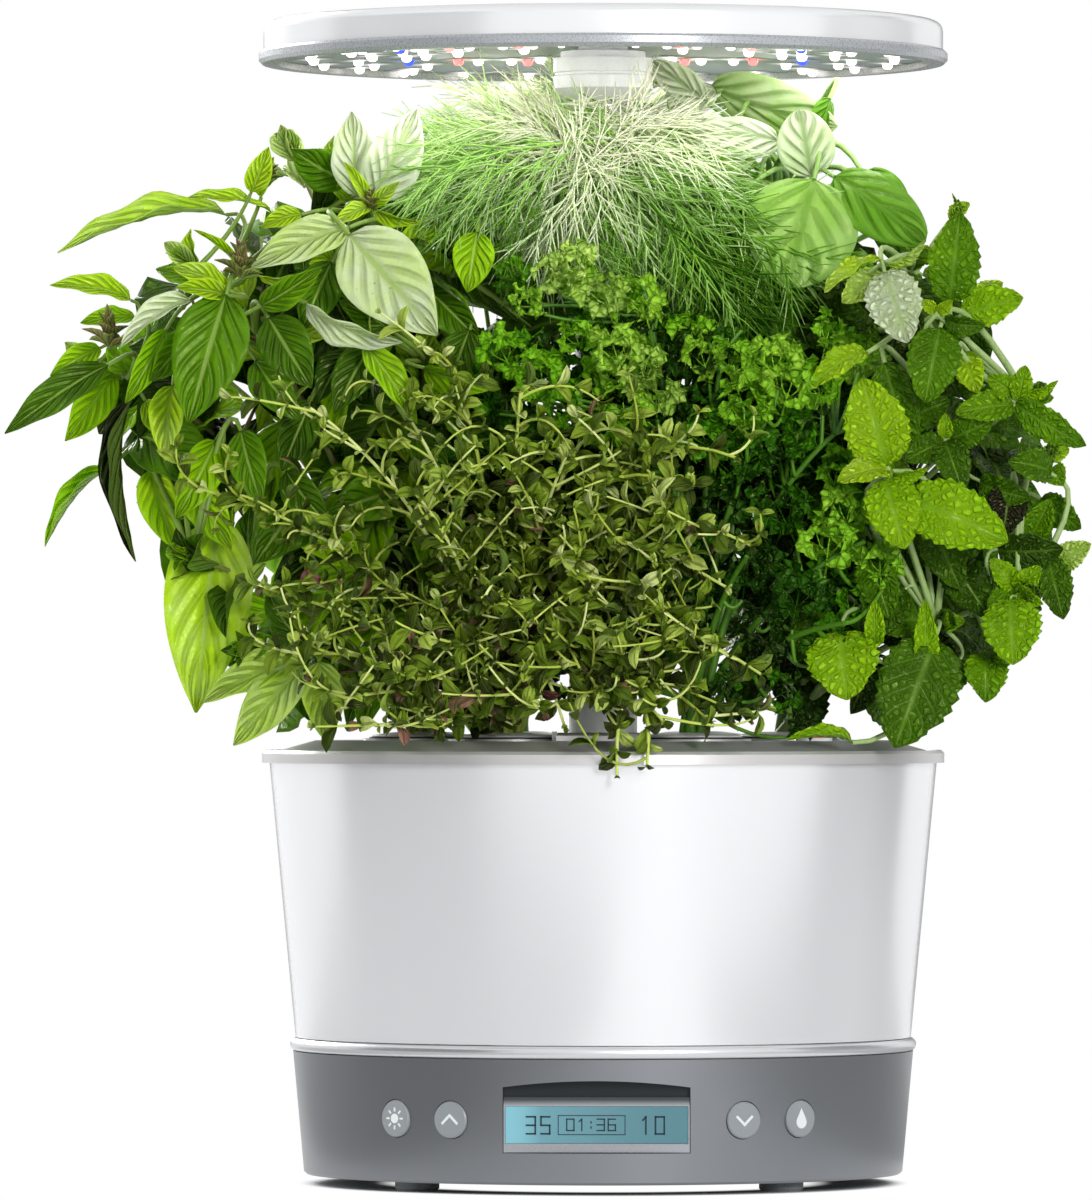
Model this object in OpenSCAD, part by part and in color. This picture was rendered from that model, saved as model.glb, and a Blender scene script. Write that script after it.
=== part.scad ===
// Countertop hydroponic garden: a round powered base, a lift-off water bowl, a grow deck with six
// planted pods, and a telescoping centre mast that carries a round grow light.
// Millimetres, +Z up. The origin is on the table under the mast; the control panel faces -Y.

/* [Base] */
// Height of the rubber feet below the floor plate
foot_h = 4.4; // [3:0.2:8]
// Radius of a rubber foot
foot_r = 8.7; // [6:0.1:11]
// Distance of a foot's edge from the edge of the floor plate
foot_inset = 6.5; // [4:0.1:14]
// Height of the housing wall, from its bottom edge to the trim ring
base_h = 48.8; // [46:0.2:60]
// Outer radius of the housing under the trim ring, which the bowl and the deck follow
base_top_r = 123.2; // [120:0.1:128]
// How much narrower the housing is at its bottom edge
base_taper = 4.4; // [2:0.1:6]
// Wall of the housing
base_wall = 2.6; // [2:0.1:3.2]
// Thickness of the housing's top plate, which the bowl stands on
top_plate = 2.8; // [2:0.1:4]
// Thickness of the floor plate
floor_t = 3; // [2.6:0.1:4]
// Height of the trim ring
trim_h = 5.2; // [4:0.1:7]
// How far the trim ring stands out from the housing
trim_out = 1.2; // [0.6:0.1:2]
// Distance of the floor screws from the housing's bottom edge
screw_inset = 14.8; // [13:0.1:20]

/* [Control panel] */
// Width of the display recess
recess_w = 72.8; // [60:0.2:76]
// Height of the display recess at its corners
recess_h = 25.6; // [24:0.2:28]
// Rise of the arch over the recess
recess_arch = 2.6; // [1:0.1:4]
// Height of the recess's bottom edge above the table
recess_z = 16.4; // [14:0.2:18]
// Height of the display's visible glass
glass_h = 14.3; // [10:0.1:16]
// Height of the strip under the glass
strip_h = 3.8; // [2:0.1:5]
// Height of the bar over the glass
bar_h = 3.6; // [2:0.1:5]
// Depth of the recess's back wall, from the housing's widest point at the recess
recess_depth = 8.6; // [6:0.1:10]
// Radius of a button cap
button_r = 7.2; // [5:0.1:8]
// Height of the buttons' centre line above the table
button_z = 29; // [27:0.2:32]
// Angle of the inner pair of buttons from the front
button_inner_deg = 28; // [26:0.5:30]
// Angle of the outer pair of buttons from the front
button_outer_deg = 40.5; // [39:0.5:46]
// Travel of a button
button_travel = 1; // [0.5:0.1:1.2]

/* [Bowl] */
// How far the bowl's wall stands in from the housing's edge, just above the trim ring
bowl_inset = 0.9; // [0.4:0.1:2]
// How much wider the bowl is under the rim band than at its bottom
bowl_flare = 10.3; // [8:0.1:12]
// Height of the bowl's wall above the trim ring
bowl_h = 108.8; // [100:0.5:130]
// Wall of the bowl
bowl_wall = 2.4; // [1.8:0.1:3]
// Inner radius of the bowl's centre column, which the mast passes through
column_r = 14.2; // [14:0.1:16]
// Distance of the pump's centre from the bowl's outer face at its bottom
pump_inset = 25.3; // [22.5:0.1:30]

/* [Grow deck] */
// How far the rim band stands out from the bowl
rim_out = 3; // [2:0.1:5]
// Height of the rim band
rim_h = 5; // [4:0.1:7]
// Height of the raised middle of the deck above the rim band
deck_rise = 3.8; // [2:0.1:6]
// Thickness of the deck
deck_t = 2.4; // [2:0.1:3]
// Radius of the circle on which the six pods stand
pod_ring_r = 72; // [70:0.5:76]
// Radius of a pod opening
pod_r = 18.6; // [16:0.1:19]
// Height of a grow basket below its flange
basket_h = 56; // [45:0.5:62]
// Width of the fill port along X
port_w = 28; // [20:0.5:30]
// Length of the fill port along Y
port_l = 18; // [14:0.5:20]
// Distance of the fill port's centre from the mast
port_r = 92; // [90:0.5:94]
// Thickness of the fill lid
lid_t = 2; // [1.6:0.1:2.4]
// Rise of the water float
float_travel = 22; // [15:0.5:24]

/* [Mast and light] */
// Clear height between the rim band and the underside of the light
grow_h = 272.6; // [240:0.5:300]
// Outer radius of the fixed mast tube
mast_r = 13.5; // [12:0.1:13.8]
// Outer radius of the sliding mast tube
inner_mast_r = 11.2; // [10:0.1:11.3]
// Wall of the sliding mast tube
mast_wall = 1.8; // [1.5:0.1:2]
// Length of the fixed mast tube above the deck
mast_above = 98; // [90:0.5:100]
// Travel of the light hood
hood_travel = 150; // [100:1:150]
// Outer radius of the hood's shell
hood_r = 135.2; // [134:0.1:138]
// Height of the hood's side wall
hood_h = 11.8; // [9:0.1:16]
// Height of the bezel ring under the shell
bezel_h = 5; // [4:0.1:7]
// Width of the bezel ring seen from below
bezel_w = 8; // [6:0.1:10]
// How far the bezel stands out from the shell
bezel_out = 1.8; // [1:0.1:2.5]
// Rise of the dished light panel from its rim to its middle
dish_rise = 6; // [3:0.1:7]
// Radius of the hub's widest step
hub_r = 19.7; // [18:0.1:22]
// Height of the hub that grips the sliding mast tube, up to the neck under the light panel
hub_h = 21; // [19:0.5:24]

/* [Hidden] */
$fn = 96;

white = "whitesmoke";
pale_grey = "silver";
housing_grey = [0.42, 0.43, 0.45];
leaf_green = [0.25, 0.5, 0.15];

fit = 0.3;             // clearance between pieces that lift, slide or drop in
snug = 0.15;           // clearance between pieces that stay put
over = 1;              // how far a cut runs past the face it opens
pod_count = 6;
pod_step = 360 / pod_count;

// Radii of the pieces that stand on each other, all worked out from the housing's.
base_bottom_r = base_top_r - base_taper;
bowl_bottom_r = base_top_r - bowl_inset;
bowl_top_r = bowl_bottom_r + bowl_flare;
rim_r = bowl_top_r + rim_out;
screw_ring_r = base_bottom_r - screw_inset;
pump_r = bowl_bottom_r - pump_inset;       // distance of the pump from the mast

// Heights of the stack, from the table up.
floor_z = foot_h;                          // underside of the floor plate
floor_top = floor_z + floor_t;
base_z = foot_h - 0.4;                     // bottom edge of the housing
base_top = base_z + base_h;                // top of the top plate, where the bowl stands
plate_z = base_top - top_plate;            // underside of the top plate
trim_top = base_top + trim_h;
bowl_z = trim_top + fit;                   // where the bowl's outer wall starts
rim_z = bowl_z + bowl_h;                   // top edge of the bowl, underside of the rim band
rim_top = rim_z + rim_h;
deck_z = rim_top + deck_rise;              // top of the deck's raised middle
hood_z = rim_top + grow_h;                 // underside of the light
shell_z = hood_z + bezel_h;                // seam between the bezel and the shell
shell_top = shell_z + hood_h;

function base_r(z) = base_bottom_r + (base_top_r - base_bottom_r) * (z - base_z) / base_h;
function bowl_r(z) = bowl_bottom_r + (bowl_top_r - bowl_bottom_r) * (z - bowl_z) / bowl_h;
function pod_xy(i) = [pod_ring_r * cos(i * pod_step), pod_ring_r * sin(i * pod_step), 0];

module tube(r_out, r_in, z, h) {
    translate([0, 0, z]) difference() {
        cylinder(r = r_out, h = h);
        translate([0, 0, -over]) cylinder(r = r_in, h = h + 2 * over);
    }
}

module disc(r, z, h) { translate([0, 0, z]) cylinder(r = r, h = h); }

// A box centred on X and Y of p, standing on its z.
module block(p, size) {
    translate([p[0] - size[0] / 2, p[1] - size[1] / 2, p[2]]) cube(size);
}

// Turns a child that points along +X, with its foot at the axis, to face the given angle from the front.
module facing(deg, z) { translate([0, 0, z]) rotate([0, 0, deg - 90]) children(); }

// ---- Base ----

boss_r = 3.6;
pilot_r = 1.5;
screw_angles = [12, 168, 192, 348];
floor_r = base_r(floor_z) - base_wall - fit;
foot_xy = (floor_r - foot_inset - foot_r) / sqrt(2);  // distance of a foot from the mast along X and along Y
trim_r = base_top_r + trim_out;
spigot_r = bowl_bottom_r - 3;              // the bowl's foot, which drops inside the trim ring
trim_in_r = spigot_r + fit;
socket_hole_r = 13;

recess_front = base_r(recess_z + recess_h / 2);
recess_y = recess_depth - recess_front;    // front face of the recess's back wall
recess_back = 2;
recess_side = 2;
board_gap = 3;
board_y = recess_y + recess_back + board_gap;  // front face of the control board
board_t = 1.6;
board_post_r = 2;
glass_z = recess_z + strip_h;
glass_mid = glass_z + glass_h / 2;
glass_w = recess_w - 2;
bezel_t = 2.5;
lens_t = 1;
jack_z = 16;
jack_r = 5;
jack_size = [12, 13, 11];

module recess_outline(grow) {
    // An arched top: a tall rectangle cut by a circle through the two corners and the arch's peak.
    half = recess_w / 2 + grow;
    arch_r = (half * half + recess_arch * recess_arch) / (2 * recess_arch);
    peak = recess_z + recess_h + recess_arch + grow;
    intersection() {
        translate([-half, recess_z - grow]) square([2 * half, recess_h + recess_arch + 2 * grow]);
        translate([0, peak - arch_r]) circle(r = arch_r, $fn = 256);
    }
}

// An outline drawn in X and Z, extruded along Y from y0 to y1.
module along_y(y0, y1) { translate([0, y1, 0]) rotate([90, 0, 0]) linear_extrude(y1 - y0) children(); }

module housing_core() {
    rotate_extrude() polygon([
        [0, base_z], [base_r(base_z) - base_wall / 2, base_z],
        [base_r(plate_z) - base_wall / 2, plate_z + 0.1], [0, plate_z + 0.1]
    ]);
}

module housing_shell() {
    edge = 1;
    rotate_extrude() polygon([
        [base_r(base_z) - edge, base_z], [base_r(base_z + edge), base_z + edge],
        [base_r(base_top), base_top], [socket_hole_r, base_top], [socket_hole_r, plate_z],
        [base_r(plate_z) - base_wall, plate_z], [base_r(base_z) - base_wall, base_z]
    ]);
}

button_angles = [-button_outer_deg, -button_inner_deg, button_inner_deg, button_outer_deg];
button_front = base_r(button_z) + 0.9;
flange_t = 1.4;
flange_front = base_r(button_z) - base_wall - 1.1;
stem_end = flange_front - flange_t - 3.4;
switch_front = stem_end - button_travel - 0.2;
switch_h = 3.8;
board_front = switch_front - switch_h;
post_r = 1.8;
post_dz = button_r + 4;

module base_housing() {
    color(housing_grey) difference() {
        union() {
            housing_shell();
            intersection() {
                housing_core();
                along_y(-base_top_r - over, recess_y + recess_back) recess_outline(recess_side);
            }
            for (a = screw_angles) rotate([0, 0, a]) translate([screw_ring_r, 0, floor_top])
                cylinder(r = boss_r, h = plate_z - floor_top + 0.1);
            for (a = button_angles) facing(a, button_z) for (s = [-1, 1])
                translate([board_front, 0, s * post_dz]) rotate([0, 90, 0])
                    cylinder(r = post_r, h = base_r(button_z + s * post_dz) - base_wall / 2 - board_front);
            for (x = [-1, 1], z = [-1, 1])
                translate([x * (recess_w / 2 - 1), recess_y + recess_back - 0.1,
                           glass_mid + z * (glass_h / 2 + board_post_r + 0.6)])
                    rotate([-90, 0, 0]) cylinder(r = board_post_r, h = board_gap + 0.1);
        }
        along_y(-base_top_r - 2 * over, recess_y) recess_outline(0);
        block([0, recess_y + recess_back / 2, glass_z - snug],
              [glass_w + 2 * snug, recess_back + 2 * over, glass_h + 2 * snug]);
        for (a = button_angles) facing(a, button_z) translate([base_r(button_z) - 3 * base_wall, 0, 0])
            rotate([0, 90, 0]) cylinder(r = button_r + fit, h = 5 * base_wall);
        for (a = screw_angles) rotate([0, 0, a]) translate([screw_ring_r, 0, floor_top - over])
            cylinder(r = pilot_r, h = 14);
        translate([0, base_bottom_r - 3 * base_wall, jack_z]) rotate([-90, 0, 0])
            cylinder(r = jack_r + fit, h = 6 * base_wall);
    }
}

module trim_ring() {
    bead = trim_h / 2;
    color(pale_grey) rotate_extrude() union() {
        translate([trim_in_r, base_top]) square([trim_r - bead - trim_in_r, trim_h]);
        intersection() {
            translate([trim_r - bead, base_top + bead]) circle(r = bead);
            translate([trim_in_r, base_top]) square([trim_r - trim_in_r, trim_h]);
        }
    }
}

foot_stem_r = 3;
head_r = 3;
head_h = 1.4;

module base_floor() {
    color(housing_grey) union() {
        difference() {
            disc(floor_r, floor_z, floor_t);
            for (a = screw_angles) rotate([0, 0, a]) translate([screw_ring_r, 0, floor_z - over]) {
                cylinder(r = pilot_r + fit, h = floor_t + 2 * over);
                cylinder(r = head_r + fit, h = over + head_h);
            }
            for (x = [-1, 1], y = [-1, 1])
                translate([x * foot_xy, y * foot_xy, floor_z - over])
                    cylinder(r = foot_stem_r + snug, h = floor_t + 2 * over);
            for (i = [-4:4]) block([i * 7, 0, floor_z - over], [2.6, 46, floor_t + 2 * over]);
        }
        block([0, jack_y + jack_size[1] / 2, floor_top],
              [jack_size[0] + 4, jack_size[1], jack_z - jack_size[2] / 2 - floor_top]);
    }
}

module rubber_feet() {
    barb = 0.6;
    color([0.15, 0.15, 0.16]) for (x = [-1, 1], y = [-1, 1]) translate([x * foot_xy, y * foot_xy, 0])
        rotate_extrude() polygon([
            [0, 0], [foot_r - 1, 0], [foot_r, 1], [foot_r, foot_h], [foot_stem_r, foot_h],
            [foot_stem_r, floor_top + snug], [foot_stem_r + barb, floor_top + snug],
            [foot_stem_r - barb, floor_top + 2], [0, floor_top + 2]
        ]);
}

module floor_screws() {
    shank = 11;
    slot = 0.8;
    color(pale_grey) for (a = screw_angles) rotate([0, 0, a]) translate([screw_ring_r, 0, floor_z])
        difference() {
            union() {
                cylinder(r = head_r, h = head_h);
                cylinder(r = pilot_r - 0.1, h = head_h + shank);
            }
            for (t = [0, 90]) rotate([0, 0, t]) block([0, 0, -over], [3.6, slot, over + slot]);
        }
}

jack_y = base_r(jack_z) - base_wall - 1.2 - jack_size[1];

module display_bezel() {
    color([0.3, 0.31, 0.33]) difference() {
        block([0, recess_y - bezel_t / 2, recess_z + fit],
              [recess_w - 2 * fit, bezel_t, strip_h + glass_h + bar_h - fit]);
        block([0, recess_y - bezel_t / 2, glass_z - snug],
              [glass_w + 2 * snug, bezel_t + 2 * over, glass_h + 2 * snug]);
    }
}

module display_window() {
    color([0.7, 0.8, 0.85, 0.4])
        block([0, recess_y - bezel_t + lens_t / 2, glass_z], [glass_w, lens_t, glass_h]);
}

module lcd_module() {
    depth = board_y - recess_y + bezel_t - lens_t;
    color([0.35, 0.6, 0.66]) block([0, board_y - depth / 2, glass_z], [glass_w, depth, glass_h]);
}

module control_board() {
    color([0.1, 0.35, 0.2]) union() {
        block([0, board_y + board_t / 2, recess_z - 3], [recess_w + 14, board_t, recess_h + 6]);
        block([-20, board_y + board_t + 1, recess_z + 6], [12, 2, 12]);
        block([18, board_y + board_t + 2.5, recess_z + 3], [16, 5, 8]);
        translate([4, board_y + board_t - 0.1, recess_z + 16]) rotate([-90, 0, 0]) cylinder(r = 4, h = 8);
    }
}

module button_boards() {
    color([0.1, 0.35, 0.2]) for (a = button_angles) facing(a, button_z) union() {
        translate([board_front - board_t, -5, -post_dz - 3]) cube([board_t, 10, 2 * post_dz + 6]);
        translate([board_front - 0.1, -3, -3]) cube([switch_h - 0.6 + 0.1, 6, 6]);
        translate([board_front, 0, 0]) rotate([0, 90, 0]) cylinder(r = 1.7, h = switch_h);
    }
}

// The cap's face is engraved in the finish only; the solid is a cap, a retaining flange and a stem.
module button(deg) {
    dome = 0.5;
    color(pale_grey) facing(deg, button_z) rotate([0, 90, 0]) rotate_extrude() polygon([
        [0, stem_end], [2, stem_end], [2, flange_front - flange_t],
        [button_r + 1.3, flange_front - flange_t], [button_r + 1.3, flange_front],
        [button_r, flange_front], [button_r, button_front - dome], [button_r - dome, button_front],
        [0, button_front]
    ]);
}

module light_button() { button(-button_outer_deg); }
module up_button() { button(-button_inner_deg); }
module down_button() { button(button_inner_deg); }
module feed_button() { button(button_outer_deg); }

module power_inlet() {
    snout = base_r(jack_z) - 0.4 - jack_y - jack_size[1];
    color([0.12, 0.12, 0.13]) union() {
        difference() {
            union() {
                block([0, jack_y + jack_size[1] / 2, jack_z - jack_size[2] / 2], jack_size);
                translate([0, jack_y + jack_size[1] - 0.1, jack_z]) rotate([-90, 0, 0])
                    cylinder(r = jack_r, h = snout + 0.1);
            }
            translate([0, jack_y + 3, jack_z]) rotate([-90, 0, 0]) cylinder(r = 3.2, h = 30);
        }
        translate([0, jack_y + 2, jack_z]) rotate([-90, 0, 0]) cylinder(r = 1, h = jack_size[1]);
    }
}

plug_r = 12;
plug_depth = 10;                           // how far the mast plug drops into the light socket
socket_h = plug_depth + 4;
stator_r = 12;
stator_h = 14;
pin_angles = [90, 210, 330];
pin_ring_r = 6;

module light_socket() {
    color([0.12, 0.12, 0.13]) union() {
        difference() {
            disc(socket_hole_r + 4, plate_z - socket_h, socket_h);
            disc(plug_r + fit, plate_z - plug_depth, plug_depth + over);
        }
        for (a = pin_angles) rotate([0, 0, a]) translate([pin_ring_r, 0, plate_z - plug_depth - 0.1])
            cylinder(r = 1, h = 6);
    }
}

module pump_stator() {
    color([0.12, 0.12, 0.13]) translate([0, pump_r, 0])
        disc(stator_r, plate_z - stator_h, stator_h);
}

// ---- Bowl and pump ----

column_wall = 2.2;
column_top = rim_z - 14;
bowl_floor = 2.6;
bowl_floor_top = base_top + bowl_floor;

module bowl() {
    color(white) rotate_extrude() polygon([
        [column_r, base_top], [spigot_r, base_top], [spigot_r, bowl_z], [bowl_r(bowl_z), bowl_z],
        [bowl_r(rim_z), rim_z], [bowl_r(rim_z) - bowl_wall, rim_z],
        [spigot_r - bowl_wall, bowl_floor_top],
        [column_r + column_wall, bowl_floor_top], [column_r + column_wall, column_top],
        [column_r, column_top]
    ]);
}

pump_cover_r = 14;
pump_cover_h = 22;
nozzle_r = 4;
nozzle_h = 8;
axle_r = 1;
axle_h = 14;
impeller_z = bowl_floor_top + 1.5;
impeller_h = 9;

module pump_cover() {
    wall = 1.6;
    color([0.2, 0.21, 0.22]) translate([0, pump_r, bowl_floor_top]) difference() {
        union() {
            cylinder(r = pump_cover_r, h = pump_cover_h);
            cylinder(r = nozzle_r, h = pump_cover_h + nozzle_h);
        }
        translate([0, 0, -over]) cylinder(r = pump_cover_r - wall, h = pump_cover_h - wall + over);
        cylinder(r = nozzle_r - 1.4, h = pump_cover_h + nozzle_h + over);
        for (a = [0:30:150]) rotate([0, 0, a]) block([0, 0, 2], [2 * pump_cover_r + 2, 2.4, 8]);
    }
}

module impeller_axle() {
    color(pale_grey) translate([0, pump_r, 0]) disc(axle_r, bowl_floor_top, axle_h);
}

module pump_impeller() {
    bore_r = axle_r + 0.05;
    color(white) translate([0, pump_r, impeller_z]) difference() {
        union() {
            cylinder(r = 8, h = 2);
            cylinder(r = 3.2, h = impeller_h);
            for (a = [0:60:120]) rotate([0, 0, a]) block([0, 0, 0], [17, 1.2, impeller_h - 1]);
        }
        translate([0, 0, -over]) cylinder(r = bore_r, h = impeller_h + 2 * over);
    }
}

// ---- Grow deck ----

skirt_r = bowl_r(rim_z) - bowl_wall - 1.6;
skirt_drop = 6;
slope_r = skirt_r - 14;                    // where the raised middle starts
hub_wall = 4;
hub_drop = 8;
ring_w = 2;                                // the raised ring round each pod and port
ring_rise = 0.8;
guide_xy = [pump_r * cos(-30), pump_r * sin(-30), 0];
guide_r = 4.8;
lid_w = port_w + 4;
lid_l = port_l + 4;
lid_z = deck_z + 0.2;
hinge_y = fit + lid_l / 2 - port_r + 1.6;
pin_r = 1;
hinge_z = lid_z + 1.6;
lug_t = 2;
lug_gap = 0.25;

module port_outline() {
    translate([-port_w / 2, -port_r - port_l / 2]) square([port_w, port_l]);
}

module grow_deck() {
    soften = 1.2;
    color([0.85, 0.85, 0.84]) difference() {
        union() {
            rotate_extrude() polygon([
                [mast_r + snug, deck_z + 2], [mast_r + hub_wall, deck_z + 2],
                [mast_r + hub_wall + 2, deck_z], [slope_r, deck_z],
                [skirt_r + 3, rim_top - 1], [skirt_r + 4, rim_top], [rim_r - soften, rim_top],
                [rim_r, rim_top - soften], [rim_r, rim_z], [skirt_r, rim_z],
                [skirt_r, rim_z - skirt_drop], [skirt_r - deck_t, rim_z - skirt_drop],
                [skirt_r - deck_t, rim_top - 1 - deck_t], [slope_r, deck_z - deck_t],
                [mast_r + hub_wall, deck_z - deck_t], [mast_r + hub_wall, deck_z - hub_drop],
                [mast_r + snug, deck_z - hub_drop]
            ]);
            for (i = [0:pod_count - 1]) translate(pod_xy(i))
                tube(pod_r + 2 * ring_w + 1, pod_r + ring_w + 1, deck_z - 1, 1 + ring_rise);
            for (s = [-1, 1]) hinge_lug(s * (lid_w / 2 + lug_t / 2 + lug_gap));
        }
        for (i = [0:pod_count - 1]) translate(pod_xy(i))
            translate([0, 0, deck_z - 2 * deck_t]) cylinder(r = pod_r, h = 4 * deck_t);
        translate([0, 0, deck_z - 2 * deck_t]) linear_extrude(4 * deck_t) port_outline();
        translate(guide_xy) disc(guide_r + snug, deck_z - 2 * deck_t, 4 * deck_t);
    }
}

module hinge_lug(x) {
    difference() {
        block([x, hinge_y, deck_z - 1], [lug_t, 4.4, hinge_z - deck_z + 3]);
        translate([x - lug_t, hinge_y, hinge_z]) rotate([0, 90, 0]) cylinder(r = pin_r + snug, h = 2 * lug_t);
    }
}

module fill_lid() {
    knuckle = 1.6;
    color(pale_grey) difference() {
        union() {
            block([0, -port_r, lid_z], [lid_w, lid_l, lid_t]);
            translate([-lid_w / 2, hinge_y, hinge_z]) rotate([0, 90, 0]) cylinder(r = knuckle, h = lid_w);
            block([0, hinge_y - knuckle - fit / 2, lid_z + 0.4], [lid_w, 2 * knuckle + 1, 1.2]);
            block([0, -port_r - lid_l / 2 - 1.5, lid_z], [12, 4, lid_t]);
        }
        translate([-lid_w, hinge_y, hinge_z]) rotate([0, 90, 0]) cylinder(r = pin_r + 0.05, h = 2 * lid_w);
    }
}

module lid_pin() {
    reach = lid_w / 2 + lug_gap + lug_t;
    color(pale_grey) translate([-reach, hinge_y, hinge_z]) rotate([0, 90, 0])
        cylinder(r = pin_r, h = 2 * reach);
}

guide_drop = 26;
rod_r = 3;
float_r = 10;
float_h = 18;
float_cap_h = 1.4;
guide_rim_h = 1.2;
float_top = deck_z - guide_drop - float_travel - 1;

module float_guide() {
    color(pale_grey) translate(guide_xy) union() {
        tube(guide_r, rod_r + fit, deck_z - guide_drop, guide_drop);
        tube(guide_r + 2.4, rod_r + fit, deck_z, guide_rim_h);
    }
}

module water_float() {
    color([0.85, 0.3, 0.15]) translate(guide_xy) union() {
        disc(float_r, float_top - float_h, float_h);
        disc(rod_r, float_top - over, deck_z + guide_rim_h - float_top + over);
        disc(guide_r, deck_z + guide_rim_h, float_cap_h);
    }
}

manifold_r = 50;
channel_w = 8;
manifold_h = 6;
manifold_z = deck_z - deck_t - manifold_h;
riser_r = nozzle_r + snug + 1.8;

// A tray of channels under the deck: a ring, an arm to the riser, and a spout to every pod.
module drip_outline(inset) {
    difference() {
        circle(r = manifold_r - inset);
        circle(r = manifold_r - channel_w + inset);
    }
    translate([inset - channel_w / 2, manifold_r - channel_w / 2])
        square([channel_w - 2 * inset, pump_r - manifold_r]);
    translate([0, pump_r]) circle(r = riser_r + 2.4 - inset);
}

// Lays a child that points along +Z as the spout from the ring to a pod.
module spout(i) {
    rotate([0, 0, i * pod_step]) translate([manifold_r - 2, 0, manifold_z + manifold_h / 2])
        rotate([0, 90, 0]) children();
}

module drip_manifold() {
    wall = 1.4;
    color(pale_grey) difference() {
        union() {
            translate([0, 0, manifold_z]) linear_extrude(manifold_h) drip_outline(0);
            for (i = [0:pod_count - 1]) spout(i)
                cylinder(r = 2, h = pod_ring_r - pod_r - manifold_r + 2 - fit);
        }
        translate([0, 0, manifold_z + wall]) linear_extrude(manifold_h) drip_outline(wall);
        for (i = [0:pod_count - 1]) spout(i) translate([0, 0, -over]) cylinder(r = 1, h = 20);
        translate([0, pump_r, manifold_z - over]) cylinder(r = riser_r + snug, h = manifold_h);
    }
}

module riser_tube() {
    foot = bowl_floor_top + pump_cover_h + 1;
    color([0.8, 0.85, 0.88, 0.6]) translate([0, pump_r, 0])
        tube(riser_r, nozzle_r + snug, foot, manifold_z + 2 - foot);
}

flange_r = pod_r + 2.4;
basket_flange = 1.4;
basket_wall = 1.4;
basket_taper = 5;                          // how much narrower the basket is at its foot
basket_collar = 6;                         // height of its straight part under the flange
slot_w = 5;
basket_z = deck_z - basket_h;

module grow_basket(i) {
    basket_foot = pod_r - basket_taper;
    inner_r = pod_r - fit - basket_wall;
    color([0.16, 0.17, 0.18]) translate(pod_xy(i)) difference() {
        rotate_extrude() polygon([
            [0, basket_z], [basket_foot, basket_z], [pod_r - fit, deck_z - basket_collar],
            [pod_r - fit, deck_z], [flange_r, deck_z], [flange_r, deck_z + basket_flange],
            [inner_r, deck_z + basket_flange], [inner_r, deck_z - basket_collar],
            [basket_foot - basket_wall, basket_z + basket_wall], [0, basket_z + basket_wall]
        ]);
        for (a = [0:60:120]) rotate([0, 0, a])
            block([0, 0, basket_z + 6], [2 * pod_r + 2, slot_w, basket_h - 20]);
    }
}

sponge_r = pod_r - fit - basket_wall - fit;
sponge_top = deck_z + basket_flange - 0.6;

// The sponge is a plug that tapers with its basket.
module grow_sponge(i) {
    sponge_foot = pod_r - basket_taper - basket_wall - fit;
    color([0.3, 0.22, 0.14]) translate(pod_xy(i)) rotate_extrude() polygon([
        [0, basket_z + basket_wall], [sponge_foot, basket_z + basket_wall],
        [sponge_r, deck_z - basket_collar], [sponge_r, sponge_top], [0, sponge_top]
    ]);
}

// ---- Sizes shared by the mast and the light ----

bezel_r = hood_r + bezel_out;
opening_r = bezel_r - bezel_w;
lip_w = 3;                                 // the bezel's inner step, which carries the light panel
panel_r = opening_r + lip_w - fit;
panel_inset = 2.4;                         // how far the panel's rim lies above the bezel's underside
pcb_t = 1.6;
plate_t = 1.5;
shell_t = 2.2;
crown = 2.6;                               // rise of the hood's top from its edge to its middle
hood_edge = 4;                             // corner radius of the hood's top edge
neck_r = 9.7;
spigot = 7;                                // radius of the hub's end, which the panel drops over
cable_r = 4;

// Underside of the dished light panel at a distance from the centre line.
function panel_z(r) = hood_z + panel_inset + dish_rise * (1 - r / panel_r);

// ---- Mast ----

mast_foot = base_top + 3;
mast_top = deck_z + mast_above;
collar_h = 14;
slide_fit = 0.2;

module outer_mast() {
    color(white) tube(mast_r, inner_mast_r + slide_fit, mast_foot, mast_top - mast_foot);
}

module mast_collar() {
    color(pale_grey) rotate_extrude() polygon([
        [mast_r + 0.01, mast_top - collar_h], [mast_r + 2, mast_top - collar_h],
        [mast_r + 2.6, mast_top - collar_h + 2], [mast_r + 2.6, mast_top],
        [mast_r + 1.4, mast_top + 1.6], [inner_mast_r + slide_fit, mast_top + 1.6],
        [inner_mast_r + slide_fit, mast_top], [mast_r + 0.01, mast_top]
    ]);
}

module mast_plug() {
    color([0.12, 0.12, 0.13]) difference() {
        union() {
            disc(plug_r, plate_z - plug_depth + 0.4, mast_foot - plate_z + plug_depth - 0.4);
            disc(inner_mast_r - 1, mast_foot - 0.1, 6);
        }
        for (a = pin_angles) rotate([0, 0, a]) translate([pin_ring_r, 0, plate_z - plug_depth - over])
            cylinder(r = 1 + fit, h = 8);
    }
}

// A coiled lead with a plug at its foot: it closes up as the light comes down.
module mast_cable() {
    color([0.12, 0.12, 0.13]) disc(cable_r, mast_foot + 6, panel_z(0) - mast_foot - 6);
}

tube_stop = 22.1;                          // height of the sliding tube's foot over the mast's, light down
inner_foot = mast_foot + tube_stop + hood_travel;
neck_h = 3;                                // the narrow neck between the hub and the light panel
hub_top = panel_z(neck_r);
hub_z = hub_top - neck_h - hub_h;          // bottom of the hub
grip = 12;                                 // how far the tube runs up into the hub

module inner_mast() {
    color(pale_grey) tube(inner_mast_r, inner_mast_r - mast_wall, inner_foot, hub_z + grip - inner_foot);
}

// ---- Light hood ----

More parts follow.
